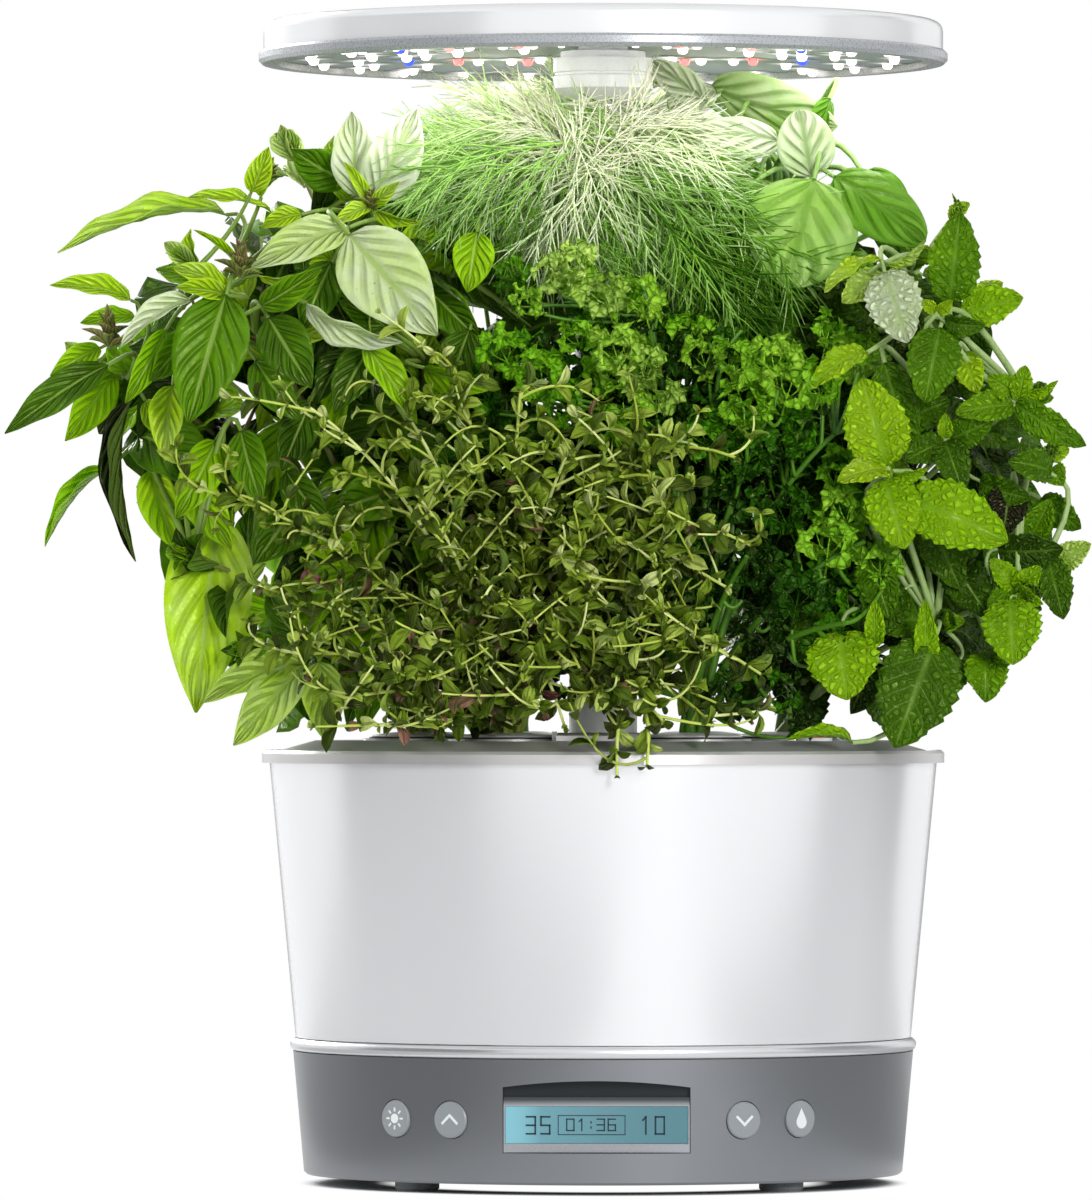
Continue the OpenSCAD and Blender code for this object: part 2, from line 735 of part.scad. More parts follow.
// The shell's section: a side wall, a rounded corner and a shallow crown, as a wall of even thickness.
function shell_section(inset) = concat(
    [[hood_r - inset, shell_z + (inset > 0 ? -over : 0)]],
    [for (a = [0:15:90]) [
        hood_r - hood_edge + (hood_edge - inset) * cos(a),
        shell_top - hood_edge + (hood_edge - inset) * sin(a)
    ]],
    [for (s = [0.75, 0.5, 0.25, 0]) [
        s * (hood_r - hood_edge),
        shell_top - inset + crown * (1 - s * s)
    ]],
    [[0, shell_z + (inset > 0 ? -over : 0)]]
);

module hood_shell() {
    color(white) rotate_extrude() difference() {
        polygon(shell_section(0));
        polygon(shell_section(shell_t));
    }
}

module hood_bezel() {
    soften = 1.4;
    seat = panel_r + fit;
    rib_top = panel_z(panel_r) + pcb_t + plate_t;
    color([0.72, 0.72, 0.73]) rotate_extrude() polygon([
        [opening_r, hood_z], [bezel_r - soften, hood_z], [bezel_r, hood_z + soften],
        [bezel_r, shell_z - 1], [bezel_r - 1, shell_z], [hood_r - shell_t - fit, shell_z],
        [hood_r - shell_t - fit, rib_top], [seat, rib_top],
        [seat, panel_z(seat) - 0.05], [opening_r, panel_z(opening_r) - 0.05]
    ]);
}

// A dished plate with a hole for the hub, lying a given height above the panel's underside.
module dish(lift, t) {
    hole = spigot + fit;
    rotate_extrude() polygon([
        [hole, panel_z(hole) + lift], [panel_r, panel_z(panel_r) + lift],
        [panel_r, panel_z(panel_r) + lift + t], [hole, panel_z(hole) + lift + t]
    ]);
}

module led_board() { color("white") dish(0, pcb_t); }
module heat_plate() { color([0.75, 0.76, 0.78]) dish(pcb_t, plate_t); }

// The hub: a stepped socket that grips the sliding tube and carries the light panel on its neck.
module hood_hub() {
    step_h = 2.7;
    groove = 0.6;
    step_z = hub_z + hub_h - step_h;
    band_z = hub_z + hub_h * 0.53;
    lead_r = cable_r + 1.2;
    color(white) rotate_extrude() polygon([
        [inner_mast_r + snug, hub_z], [inner_mast_r + 2.6, hub_z], [hub_r, hub_z + hub_h * 0.3],
        [hub_r, band_z], [hub_r - groove, band_z + groove], [hub_r - groove, band_z + 2 * groove],
        [hub_r, band_z + 3 * groove], [hub_r, step_z], [hub_r - 2.8, step_z], [hub_r - 2.8, hub_z + hub_h],
        [neck_r, hub_z + hub_h], [neck_r, hub_top - 0.1], [spigot, hub_top],
        [spigot, hub_top + pcb_t + plate_t], [lead_r, hub_top + pcb_t + plate_t],
        [lead_r, hub_z + grip + snug], [inner_mast_r + snug, hub_z + grip + snug]
    ]);
}

// Places of the lights on one quarter of the panel, as shares of its radius. The other quarters mirror them.
white_places = [[0.88, 0.1], [0.86, 0.35], [0.75, 0.25], [0.7, 0.06], [0.71, 0.44], [0.76, 0.55],
                [0.6, 0.16], [0.6, 0.66], [0.63, 0.72], [0.54, 0.12], [0.55, 0.51], [0.44, 0.05],
                [0.39, 0.41], [0.29, 0.43], [0.24, 0.05], [0.2, 0.4], [0.25, 0.9], [0.45, 0.83],
                [0.11, 0.62]];
red_places = [[0.45, 0.38], [0.24, 0.46]];
blue_places = [[0.6, 0.34]];
led_size = [3.2, 3.2, 0.8];

module leds(places) {
    tilt = atan(dish_rise / panel_r);
    for (p = places, sx = [-1, 1], sy = [-1, 1]) {
        r = panel_r * norm(p);
        a = atan2(sy * p[1], sx * p[0]);
        rotate([0, 0, a]) translate([r, 0, panel_z(r) - 0.02]) rotate([0, tilt, 0]) rotate([0, 0, -a])
            block([0, 0, -led_size[2]], led_size);
    }
}

module white_leds() { color([1, 0.97, 0.93]) leds(white_places); }
module red_leds() { color([0.9, 0.15, 0.15]) leds(red_places); }
module blue_leds() { color([0.15, 0.25, 0.9]) leds(blue_places); }

// ---- Plants ----
// Each plant stands on its sponge and keeps to its own sector round the mast and under the light.

stem_foot = sponge_top;
neck_w = 7.5;                              // radius of a plant's foot on its sponge
cell_bottom = deck_z + 6;
cell_top = hood_z - 1;
cell_r = 262;
cell_gap = 0.4;                            // half the gap kept between neighbours

// The space between two bearings from the mast, pulled in by the gap on both sides.
module wedge(from_deg, to_deg) {
    mid = (from_deg + to_deg) / 2;
    inset = cell_gap / sin((to_deg - from_deg) / 2);
    corners = [
        [0, 0], cell_r * [cos(from_deg), sin(from_deg)], 1.4 * cell_r * [cos(mid), sin(mid)],
        cell_r * [cos(to_deg), sin(to_deg)]
    ];
    translate([inset * cos(mid), inset * sin(mid), cell_bottom])
        linear_extrude(cell_top - cell_bottom) polygon(corners);
}

// The dill arches over the mast; the thyme spreads along the rim in front of the parsley.
crown_r = 50;
crown_z = deck_z + 165;
crown_drop = 25;                           // how far below the crown the other plants stop
front_r = 84;
front_deg = 292;

module crown_zone(grow, drop, top) {
    translate([0, 0, crown_z - drop]) cylinder(r = crown_r + grow, h = top - crown_z + drop, $fn = 12);
}

module front_zone() {
    difference() {
        wedge(269, front_deg);
        translate([0, 0, cell_bottom - over]) cylinder(r = front_r, h = cell_top, $fn = 12);
    }
}

// A plant's own space: its wedge, a neck down to its sponge, and what it takes from or leaves to a neighbour.
module cell(i, from_deg, to_deg) {
    difference() {
        union() {
            wedge(from_deg, to_deg);
            if (i == 2) crown_zone(0, 0, cell_top);
            if (i == 4) front_zone();
            translate(pod_xy(i)) disc_foot();
        }
        if (i != 2) crown_zone(cell_gap, crown_drop, cell_top + over);
        if (i == 5) difference() {
            wedge(268, front_deg + 1);
            translate([0, 0, cell_bottom - over]) cylinder(r = front_r - 1, h = cell_top, $fn = 12);
        }
        cylinder(r = mast_r + 4, h = cell_top, $fn = 12);
        translate([0, 0, hub_z - 3]) cylinder(r = hub_r + 2, h = cell_top, $fn = 12);
    }
}

// True where a point lies inside a plant's space with a little to spare, so that a leaf can start there.
spare = 2;
function reach(p) = norm([p[0], p[1]]);
function off_bearing(p, mid) = abs((atan2(p[1], p[0]) - mid + 540) % 360 - 180);
function in_wedge(p, from_deg, to_deg) =
    ((to_deg - from_deg) / 2 - off_bearing(p, (from_deg + to_deg) / 2)) * reach(p) * PI / 180 > spare;
function in_crown(p, spare) = reach(p) < crown_r - spare && p[2] > crown_z + spare;
function in_front(p, from_deg, to_deg, r) = in_wedge(p, from_deg, to_deg) && reach(p) > r;
function in_cell(i, from_deg, to_deg, p) =
    i == 2 ? in_wedge(p, from_deg, to_deg) || in_crown(p, spare)
    : in_crown(p, -spare) ? false
    : i == 4 ? in_wedge(p, from_deg, to_deg) || in_front(p, 264, front_deg, front_r + spare)
    : in_wedge(p, from_deg, to_deg) && !(i == 5 && in_front(p, 264, front_deg + 4, front_r - 2 * spare));

module disc_foot() {
    translate([0, 0, stem_foot]) cylinder(r = neck_w, h = cell_bottom - stem_foot + over, $fn = 12);
}

function bend(a, c, b, t) = (1 - t) * (1 - t) * a + 2 * t * (1 - t) * c + t * t * b;

// The knee of a stem: it rises first and leans out later, and a low one arches over.
arch_rise = 40;
function knee(foot, tip) = [foot[0] + 0.3 * (tip[0] - foot[0]), foot[1] + 0.3 * (tip[1] - foot[1]),
                            foot[2] + max(0.72 * (tip[2] - foot[2]), arch_rise)];

function slope(a, c, b, t) = 2 * (1 - t) * (c - a) + 2 * t * (b - c);
function unit(v) = v / norm(v);

// A square stem that follows the bend, its section square to its run, narrowing towards its tip.
module stem(foot, tip, r) {
    steps = 4;
    side = unit(cross(tip - foot, [0, 0, 1]));
    corners = [[-1, -1], [1, -1], [1, 1], [-1, 1]];
    points = [for (k = [0:steps]) let (
        t = k / steps,
        along = unit(slope(foot, knee(foot, tip), tip, t)),
        across = cross(side, along),
        size = r * (1 - 0.5 * t)
    ) for (c = corners) bend(foot, knee(foot, tip), tip, t) + size * (c[0] * side + c[1] * across)];
    polyhedron(
        points = points,
        faces = concat(
            [[3, 2, 1, 0]],
            [for (k = [0:steps - 1], c = [0:3]) [4 * k + c, 4 * k + (c + 1) % 4, 4 * k + 4 + (c + 1) % 4]],
            [for (k = [0:steps - 1], c = [0:3]) [4 * k + c, 4 * k + 4 + (c + 1) % 4, 4 * k + 4 + c]],
            [[4 * steps, 4 * steps + 1, 4 * steps + 2, 4 * steps + 3]]
        )
    );
}

// A drooping plate, lying along +X from its stalk. Each point of the outline is its place along the
// leaf and its half width, as shares of the leaf's length and width.
module leaf(length, width, droop, outline, thick) {
    n = len(outline);
    upper = [for (side = [1, -1], p = outline)
        [p[0] * length, side * p[1] * width, 0.16 * p[1] * width - droop * p[0] * p[0] * length]];
    polyhedron(
        points = concat(upper, [for (p = upper) p - [0, 0, thick]]),
        faces = concat(
            [for (k = [0:n - 2]) [k, k + 1, n + k + 1]],
            [for (k = [0:n - 2]) [k, n + k + 1, n + k]],
            [for (k = [0:n - 2]) [2 * n + k, 3 * n + k, 3 * n + k + 1]],
            [for (k = [0:n - 2]) [2 * n + k, 3 * n + k + 1, 2 * n + k + 1]],
            [for (k = [0:n - 2]) [k + 1, k, 2 * n + k]],
            [for (k = [0:n - 2]) [k + 1, 2 * n + k, 2 * n + k + 1]],
            [for (k = [0:n - 2]) [n + k, n + k + 1, 3 * n + k + 1]],
            [for (k = [0:n - 2]) [n + k, 3 * n + k + 1, 3 * n + k]],
            [[0, n, 3 * n], [0, 3 * n, 2 * n], [n - 1, 3 * n - 1, 4 * n - 1], [n - 1, 4 * n - 1, 2 * n - 1]]
        )
    );
}

broad_leaf = [[0, 0.06], [0.4, 0.5], [0.75, 0.34], [1, 0.03]];
small_leaf = [[0, 0.08], [0.45, 0.5], [1, 0.05]];
stubby_leaf = [[0, 0.3], [1, 0.2]];
leaf_t = 1;
leaf_lift = 22;                            // how far the top pair of leaves rises, in degrees
leaf_hang = 50;                            // how much further the lowest pair hangs, in degrees

// A stem that leans from the sponge to its tip, with pairs of leaves crossing each other up its length.
// The top pair rises a little, and each lower one hangs more.
module leafy_stem(i, sector, tip, spread, r, pairs, size, droop, turn, outline) {
    foot = pod_xy(i) + [spread[0], spread[1], stem_foot];
    top = [tip[0], tip[1], deck_z + tip[2]];
    stem(foot, top, r);
    for (k = [0:pairs - 1]) {
        place = bend(foot, knee(foot, top), top, 1 - 0.62 * (pairs - 1 - k) / pairs - 0.02);
        scale = k == pairs - 1 ? 0.62 : 1;
        pitch = leaf_hang * (pairs - 1 - k) / (pairs - 1) - leaf_lift;
        if (in_cell(i, sector[0], sector[1], place)) translate(place) for (side = [0, 180])
            rotate([0, 0, turn + 90 * k + side]) rotate([0, pitch, 0])
                leaf(scale * size[0], scale * size[1], droop, outline, leaf_t);
    }
}

// Stem tips of each plant: X and Y from the mast, and Z above the deck.
mint_tips = [[122, -40, 186], [138, -10, 206], [168, -52, 134], [174, -6, 112], [164, -72, 56],
             [132, -62, 46], [116, 20, 150], [172, 34, 66], [150, 62, 126]];
basil_tips = [[76, 58, 238], [104, 74, 214], [58, 88, 244], [92, 100, 176], [60, 108, 196]];
dill_tips = [[-60, 60, 236], [-30, 60, 250], [-76, 90, 200], [-20, 88, 244], [-40, 110, 196], [-4, 106, 220],
             [-84, 60, 180], [30, 2, 222]];
thai_basil_tips = [[-200, -14, 150], [-160, -40, 186], [-104, -26, 224], [-124, 34, 232], [-70, -32, 150],
                   [-160, -60, 72], [-134, -64, 36], [-160, 66, 150], [-112, 56, 196]];
thyme_tips = [[-144, -102, 96], [-130, -102, 60], [-112, -100, 130], [-84, -84, 140], [-70, -124, 96],
              [-56, -96, 146], [-44, -128, 56], [-30, -100, 136], [-12, -112, 110], [-30, -138, 14],
              [-100, -130, 12], [26, -124, 84]];
parsley_tips = [[16, -64, 182], [34, -66, 164], [24, -70, 130], [48, -78, 148], [66, -86, 126],
                [92, -78, 120], [104, -84, 78], [58, -96, 72], [96, -100, 46]];

// Length and width of each plant's leaves.
mint_leaf = [44, 34];
basil_leaf = [62, 50];
dill_leaf = [56, 16];
thai_leaf = [58, 34];
thyme_leaf = [24, 14];
parsley_leaf = [34, 30];

// One plant: its pod, the bearings that it keeps between, its stems' tips, the radius of its stems and of
// the circle they rise from, the number of leaf pairs, a leaf's length and width, droop and outline.
module plant(i, from_deg, to_deg, tips, stem_r, clump_r, pairs, size, droop, outline) {
    color(leaf_green) intersection() {
        cell(i, from_deg, to_deg);
        union() for (k = [0:len(tips) - 1])
            leafy_stem(i, [from_deg, to_deg], tips[k], clump_r * [cos(137 * k), sin(137 * k)], stem_r, pairs,
                       size, droop, 20 + 37 * k, outline);
    }
}

module mint_plant() { plant(0, -34, 30, mint_tips, 1.6, 3, 4, mint_leaf, 0.5, broad_leaf); }
module basil_plant() { plant(1, 30, 78, basil_tips, 2.2, 3, 4, basil_leaf, 0.6, broad_leaf); }
module dill_plant() { plant(2, 78, 150, dill_tips, 1.4, 3, 4, dill_leaf, 0.5, small_leaf); }
module thai_basil_plant() { plant(3, 150, 212, thai_basil_tips, 1.8, 3, 5, thai_leaf, 0.5, broad_leaf); }
module thyme_plant() { plant(4, 212, 270, thyme_tips, 1, 4, 4, thyme_leaf, 0.4, stubby_leaf); }
module parsley_plant() { plant(5, 270, 326, parsley_tips, 1.3, 4, 4, parsley_leaf, 0.4, small_leaf); }

base_housing();
base_floor();
rubber_feet();
floor_screws();
trim_ring();
display_bezel();
display_window();
lcd_module();
control_board();
light_button();
up_button();
down_button();
feed_button();
button_boards();
power_inlet();
light_socket();
pump_stator();
bowl();
pump_cover();
impeller_axle();
pump_impeller();
grow_deck();
fill_lid();
lid_pin();
float_guide();
water_float();
riser_tube();
drip_manifold();
outer_mast();
mast_collar();
mast_plug();
mast_cable();
inner_mast();
hood_shell();
hood_bezel();
hood_hub();
led_board();
heat_plate();
white_leds();
red_leds();
blue_leds();
for (i = [0:pod_count - 1]) {
    grow_basket(i);
    grow_sponge(i);
}
mint_plant();
basil_plant();
dill_plant();
thai_basil_plant();
thyme_plant();
parsley_plant();
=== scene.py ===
# %% [markdown]
# # A countertop herb garden, dressed for the camera
#
# The real object is a water bowl on a grey control base, with a round lamp hood on a mast and six
# herbs growing through its deck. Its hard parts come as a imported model, which is the fixed frame of
# this lesson: they keep their places and shapes, in metres, with the mast on the Z axis. What is
# added here is the finish of every surface, the figures on the screen, the lit lamps, and the plants,
# leaf by leaf.

# %% Load the frame
import math
import random

import bmesh
import bpy
import numpy as np
from mathutils import Matrix, Vector


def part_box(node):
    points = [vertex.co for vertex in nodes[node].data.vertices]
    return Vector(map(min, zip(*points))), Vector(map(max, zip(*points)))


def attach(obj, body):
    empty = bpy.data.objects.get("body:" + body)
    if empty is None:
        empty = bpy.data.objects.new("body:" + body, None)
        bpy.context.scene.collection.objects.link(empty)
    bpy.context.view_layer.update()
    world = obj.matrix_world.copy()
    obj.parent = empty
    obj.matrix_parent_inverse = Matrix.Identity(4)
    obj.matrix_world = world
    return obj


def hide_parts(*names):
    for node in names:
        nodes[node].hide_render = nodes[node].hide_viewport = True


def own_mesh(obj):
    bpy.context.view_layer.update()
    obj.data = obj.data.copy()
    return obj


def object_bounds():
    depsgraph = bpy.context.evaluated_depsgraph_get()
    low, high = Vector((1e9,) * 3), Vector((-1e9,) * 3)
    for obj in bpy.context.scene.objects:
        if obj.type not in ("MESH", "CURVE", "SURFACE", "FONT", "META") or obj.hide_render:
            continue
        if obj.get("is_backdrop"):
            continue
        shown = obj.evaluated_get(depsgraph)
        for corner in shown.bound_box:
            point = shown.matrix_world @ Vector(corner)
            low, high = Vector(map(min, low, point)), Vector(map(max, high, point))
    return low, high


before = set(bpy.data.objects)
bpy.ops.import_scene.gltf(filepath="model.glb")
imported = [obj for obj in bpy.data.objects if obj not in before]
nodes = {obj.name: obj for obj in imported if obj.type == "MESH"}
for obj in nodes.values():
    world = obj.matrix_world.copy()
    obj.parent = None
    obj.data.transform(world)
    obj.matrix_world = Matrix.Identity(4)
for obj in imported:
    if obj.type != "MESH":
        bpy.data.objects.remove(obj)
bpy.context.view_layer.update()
scene = bpy.context.scene
scene.view_settings.view_transform = "Standard"

# %% [markdown]
# ## Where the viewer stands
#
# A product picture of a tabletop machine is taken from far away with a long lens, so that the round
# bowl shows hardly any perspective. The camera stands 4.6 m off, 20 cm above the table and a little to
# the right, and looks a little left of the mast because the leaves reach further that way. A helper
# turns a place in the front view, in millimetres right of the mast and above the table, into a point
# at any depth on the same line of sight, which is how single leaves are put where they are seen.

# %% The camera
MM = 0.001
FAR = 4.573
AROUND = math.radians(1.25)
RIGHT = Vector((math.cos(AROUND), math.sin(AROUND), 0))
EYE = Vector((FAR * math.sin(AROUND), -FAR * math.cos(AROUND), 0.197))
AIM = RIGHT * -0.0227 + Vector((0, 0, 0.2317))

camera = bpy.data.objects.new("viewer", bpy.data.cameras.new("viewer"))
camera.data.lens, camera.data.sensor_width = 345, 36
camera.data.clip_start, camera.data.clip_end = 0.5, 40
camera.location = EYE
camera.rotation_euler = (AIM - EYE).to_track_quat("-Z", "Y").to_euler()
scene.collection.objects.link(camera)
scene.camera = camera


def seen(right, up, depth):
    """The point at y = depth that is seen at that place of the front view, all in millimetres."""
    through = RIGHT * right * MM + Vector((0, 0, up * MM))
    ray = through - EYE
    return EYE + ray * ((depth * MM - EYE.y) / ray.y)


print("camera", round((AIM - EYE).length, 2), "m away")

# %% [markdown]
# ## Trees of nodes
#
# A material is a tree of nodes, and so is the sky. Each node takes several lines when it is written out,
# so a few helpers add one with its inputs, mix two colours, or give a noise, a ramp or a relief.

# %% Small helpers for node trees


def put(tree, node, inputs):
    """Sets a node's inputs, by name or number, each to a value or to another node's socket."""
    for key, value in inputs.items():
        if isinstance(value, bpy.types.NodeSocket):
            tree.links.new(value, node.inputs[key])
        else:
            node.inputs[key].default_value = value


def add(tree, kind, inputs=None, **settings):
    """A new node with its settings and inputs."""
    made = tree.nodes.new(kind)
    for key, value in settings.items():
        setattr(made, key, value)
    put(tree, made, inputs or {})
    return made


def maths(tree, operation, a, b=0.0, c=0.0, clamp=False):
    """One Math node, and its result."""
    made = add(tree, "ShaderNodeMath", {0: a, 1: b, 2: c}, operation=operation, use_clamp=clamp)
    return made.outputs[0]


def between(tree, value, low, high, to_low=0.0, to_high=1.0):
    """Maps value from low..high to to_low..to_high, with soft ends."""
    made = add(tree, "ShaderNodeMapRange", {"Value": value, "From Min": low, "From Max": high,
                                            "To Min": to_low, "To Max": to_high},
               interpolation_type="SMOOTHSTEP")
    return made.outputs["Result"]


def mixed(tree, share, a, b, blend="MIX"):
    """A colour mix of a and b."""
    made = add(tree, "ShaderNodeMix", {"Factor": share, 6: a, 7: b}, data_type="RGBA", blend_type=blend)
    return made.outputs[2]


def tone(red, green, blue):
    """A colour given as on a paint card, 0 to 255, as the linear values that Blender works with."""
    parts = [v / 255 for v in (red, green, blue)]
    return tuple(v / 12.92 if v <= 0.04045 else ((v + 0.055) / 1.055) ** 2.4 for v in parts) + (1.0,)


def here(tree):
    """Where the shaded point lies in the model."""
    return add(tree, "ShaderNodeTexCoord").outputs["Object"]


def number(tree, title):
    """The number of that title that the mesh holds at the shaded point."""
    return add(tree, "ShaderNodeAttribute", attribute_name=title).outputs["Fac"]


def relief(tree, height, strength, distance):
    """The tilt that a bumpy height gives the surface, up to that distance in metres."""
    made = add(tree, "ShaderNodeBump", {"Height": height, "Strength": strength, "Distance": distance})
    return made.outputs[0]


def noise(tree, place, scale, detail=2.0):
    """Cloudy noise from 0 to 1."""
    return add(tree, "ShaderNodeTexNoise", {"Vector": place, "Scale": scale, "Detail": detail}).outputs[0]


def direct(tree):
    """1 for what the camera, gloss and glass see, 0 for rays that only carry light."""
    path = add(tree, "ShaderNodeLightPath").outputs
    sharp = maths(tree, "MAXIMUM", path["Is Glossy Ray"], path["Is Transmission Ray"])
    return maths(tree, "MAXIMUM", path["Is Camera Ray"], sharp)


def ramped(tree, value, steps):
    """The colour that a value gets from steps of (value, paint-card colour)."""
    ramp = add(tree, "ShaderNodeValToRGB", {0: value})
    stops = ramp.color_ramp.elements
    stops.remove(stops[0])
    stops[0].position, stops[0].color = steps[0][0], tone(*steps[0][1])
    for at, colour in steps[1:]:
        stops.new(at).color = tone(*colour)
    return ramp.outputs[0]


def blank(name):
    """A new material, with its tree and its Principled shader."""
    made = bpy.data.materials.new(name)
    made.use_nodes = True
    return made, made.node_tree, made.node_tree.nodes["Principled BSDF"]


print("a middle grey as a linear value:", round(tone(128, 128, 128)[0], 3))

# %% [markdown]
# ## Light, table and background
#
# Soft light comes from a pale sky all round, one large lamp in front and to the right, two weaker ones
# at the sides, one behind that shines through the leaves, and the object's own lamp above them. The
# background has to be white without more light on the object, so the sky shows white to the camera, to
# gloss and to glass, and gives a calmer grey-white to everything else. The table does the same: where
# the edge of the object stands it is a pale matt surface that takes the contact shadow, and inside and
# outside that ring it goes over into plain white. Cards stand round it, as in a product studio, because
# glossy white plastic shows its roundness only by the soft dark bands that such cards draw on it: two
# black ones at the sides with two grey ones lying before them, and two narrow grey ones behind, which
# the outermost edges of the round parts reflect.

# %% The sky
sky = bpy.data.worlds.new("studio")
sky.use_nodes = True
scene.world = sky
tree = sky.node_tree
tree.nodes.clear()
calm = add(tree, "ShaderNodeBackground", {"Color": tone(240, 244, 248), "Strength": 0.30})
white = add(tree, "ShaderNodeBackground", {"Color": (1, 1, 1, 1), "Strength": 1.0})
choice = add(tree, "ShaderNodeMixShader", {0: direct(tree), 1: calm.outputs[0], 2: white.outputs[0]})
add(tree, "ShaderNodeOutputWorld", {"Surface": choice.outputs[0]})
print("sky nodes:", len(tree.nodes))

# %% The lamps


def level(angle):
    """The level direction at that angle from +X."""
    return Vector((math.cos(angle), math.sin(angle), 0))


def lamp(name, place, target, size, bright, colour=(1, 1, 1), tall=None):
    """A softbox that makes a white surface facing it, at the target, that bright."""
    data = bpy.data.lights.new(name, "AREA")
    data.shape = "RECTANGLE"
    data.size, data.size_y = size, tall or size
    data.color = colour
    away = Vector(target) - Vector(place)
    data.energy = bright * math.pi ** 2 * away.length_squared
    made = bpy.data.objects.new(name, data)
    made.location = place
    made.rotation_euler = away.to_track_quat("-Z", "Y").to_euler()
    made.visible_camera = False
    scene.collection.objects.link(made)
    return made


lamp("front_lamp", (0.95, -2.5, 0.9), (0, 0, 0.2), 0.4, 0.56, tall=0.9)
lamp("left_lamp", (-2.2, -0.2, 0.7), (0, 0, 0.2), 0.8, 0.42, tall=1.6).visible_glossy = False
lamp("right_lamp", (2.1, 0.5, 0.6), (0, 0, 0.2), 0.7, 0.20, tall=1.4)
lamp("back_lamp", (-1.2, 1.9, 1.2), (0, 0, 0.3), 1.0, 0.85)
UNDER_BOARD, IN_LEAVES, GROW_LAMPS = Vector((0, 0, 0.4435)), Vector((0, 0, 0.36)), 6
for i in range(GROW_LAMPS):
    way = level(math.tau * i / GROW_LAMPS)
    lamp(f"grow_lamp_{i + 1}", UNDER_BOARD + way * 0.088, IN_LEAVES + way * 0.055, 0.07, 0.80,
         colour=(1.0, 0.99, 0.94))

# %% The cards
CARD_FAR, CARD_TALL, CARD_UP = 1.3, 1.2, 0.6
UPRIGHT, LYING = math.pi / 2, 0.0


def card(name, bearing, width, reach, height, tilt, shine):
    """A black or grey card that only gloss sees, in that bearing from the camera's side."""
    bm = bmesh.new()
    bmesh.ops.create_grid(bm, x_segments=1, y_segments=1, size=0.5)
    mesh = bpy.data.meshes.new(name)
    bm.to_mesh(mesh)
    bm.free()
    made = bpy.data.objects.new(name, mesh)
    turn = math.radians(bearing)
    made.location = (reach * math.sin(turn), -reach * math.cos(turn), height)
    made.rotation_euler = (tilt, 0, turn)
    made.scale = (width, CARD_TALL, 1)
    made.visible_camera = made.visible_transmission = False
    made.visible_shadow = made.visible_diffuse = False
    scene.collection.objects.link(made)
    face, tree, skin = blank(name)
    put(tree, skin, {"Base Color": tone(24, 25, 27), "Roughness": 1.0, "Emission Color": (1, 1, 1, 1),
                     "Emission Strength": shine})
    mesh.materials.append(face)
    made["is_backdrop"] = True


for side, bearing, width, shine in (("left", -68, 1.5, 0.48), ("right", 102, 1.15, 0.42)):
    card(f"{side}_card", bearing, width, CARD_FAR, CARD_UP, UPRIGHT, 0.0)
    card(f"{side}_floor_card", bearing, width * 0.75, 0.75, 0.004, LYING, shine)
for side, bearing in (("left", -168), ("right", 168)):
    card(f"{side}_back_card", bearing, 0.4, CARD_FAR, CARD_UP, UPRIGHT, 0.2)

# %% The table
bm = bmesh.new()
TABLE_R = 6.0
bmesh.ops.create_circle(bm, cap_ends=True, segments=96, radius=TABLE_R)
table = bpy.data.meshes.new("table")
bm.to_mesh(table)
bm.free()
table = bpy.data.objects.new("table", table)
scene.collection.objects.link(table)
paint = bpy.data.materials.new("table_white")
paint.use_nodes = True
tree = paint.node_tree
tree.nodes.clear()
far = add(tree, "ShaderNodeVectorMath", {0: here(tree)}, operation="LENGTH").outputs["Value"]
matt = add(tree, "ShaderNodeBsdfDiffuse", {"Color": tone(226, 228, 230)})
glow = add(tree, "ShaderNodeEmission", {"Strength": 1.0})
off_ring = maths(tree, "MAXIMUM", between(tree, far, 0.112, 0.122), between(tree, far, 0.092, 0.078))
plain = maths(tree, "MULTIPLY", direct(tree), off_ring)
both = add(tree, "ShaderNodeMixShader", {0: plain, 1: matt.outputs[0], 2: glow.outputs[0]})
add(tree, "ShaderNodeOutputMaterial", {"Surface": both.outputs[0]})
table.data.materials.append(paint)
table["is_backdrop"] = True
print("table radius", TABLE_R, "m")

# %% [markdown]
# ## Finishes of the hard parts
#
# Nearly every hard part is moulded plastic. What makes plastic look real up close is small: a fine
# grain that breaks the gloss, a very slow drift of tone where the melt flowed, and a slight orange-peel
# in the surface. One helper makes them all from noise in object space, so that the grain has the same
# size on every part. Metal parts get noise that is stretched one way, which reads as brushing. The large
# polished shells get only the drift, and a share of metal in their shader, which makes the dark bands of
# the cards show on them as on a thick lacquer.

# %% The moulded plastic


def moulded(name, colour, rough=0.4, grain=1400, bump=0.06, drift=0.05, stretch=(1, 1, 1), metal=0.0,
            coat=0.0, spread=0.07):
    """Plastic or metal with grain that varies its gloss by the spread, and a drift of tone."""
    made, tree, skin = blank(name)
    place = add(tree, "ShaderNodeMapping", {"Vector": here(tree), "Scale": stretch}).outputs[0]
    fine, slow = noise(tree, place, grain, 3.0), noise(tree, place, 9.0)
    dark = tuple(v * (1 - drift) for v in colour[:3]) + (1.0,)
    light = tuple(min(1.0, v * (1 + drift)) for v in colour[:3]) + (1.0,)
    put(tree, skin, {"Base Color": mixed(tree, between(tree, slow, 0.3, 0.7), dark, light),
                     "Roughness": between(tree, fine, 0.25, 0.75, rough - spread, rough + spread),
                     "Metallic": metal, "Coat Weight": coat, "Coat Roughness": 0.12,
                     "Normal": relief(tree, fine, bump, 0.0002)})
    return made


def finish(material, *names):
    """Gives CAD nodes their material."""
    for name in names:
        nodes[name].data.materials.clear()
        nodes[name].data.materials.append(material)


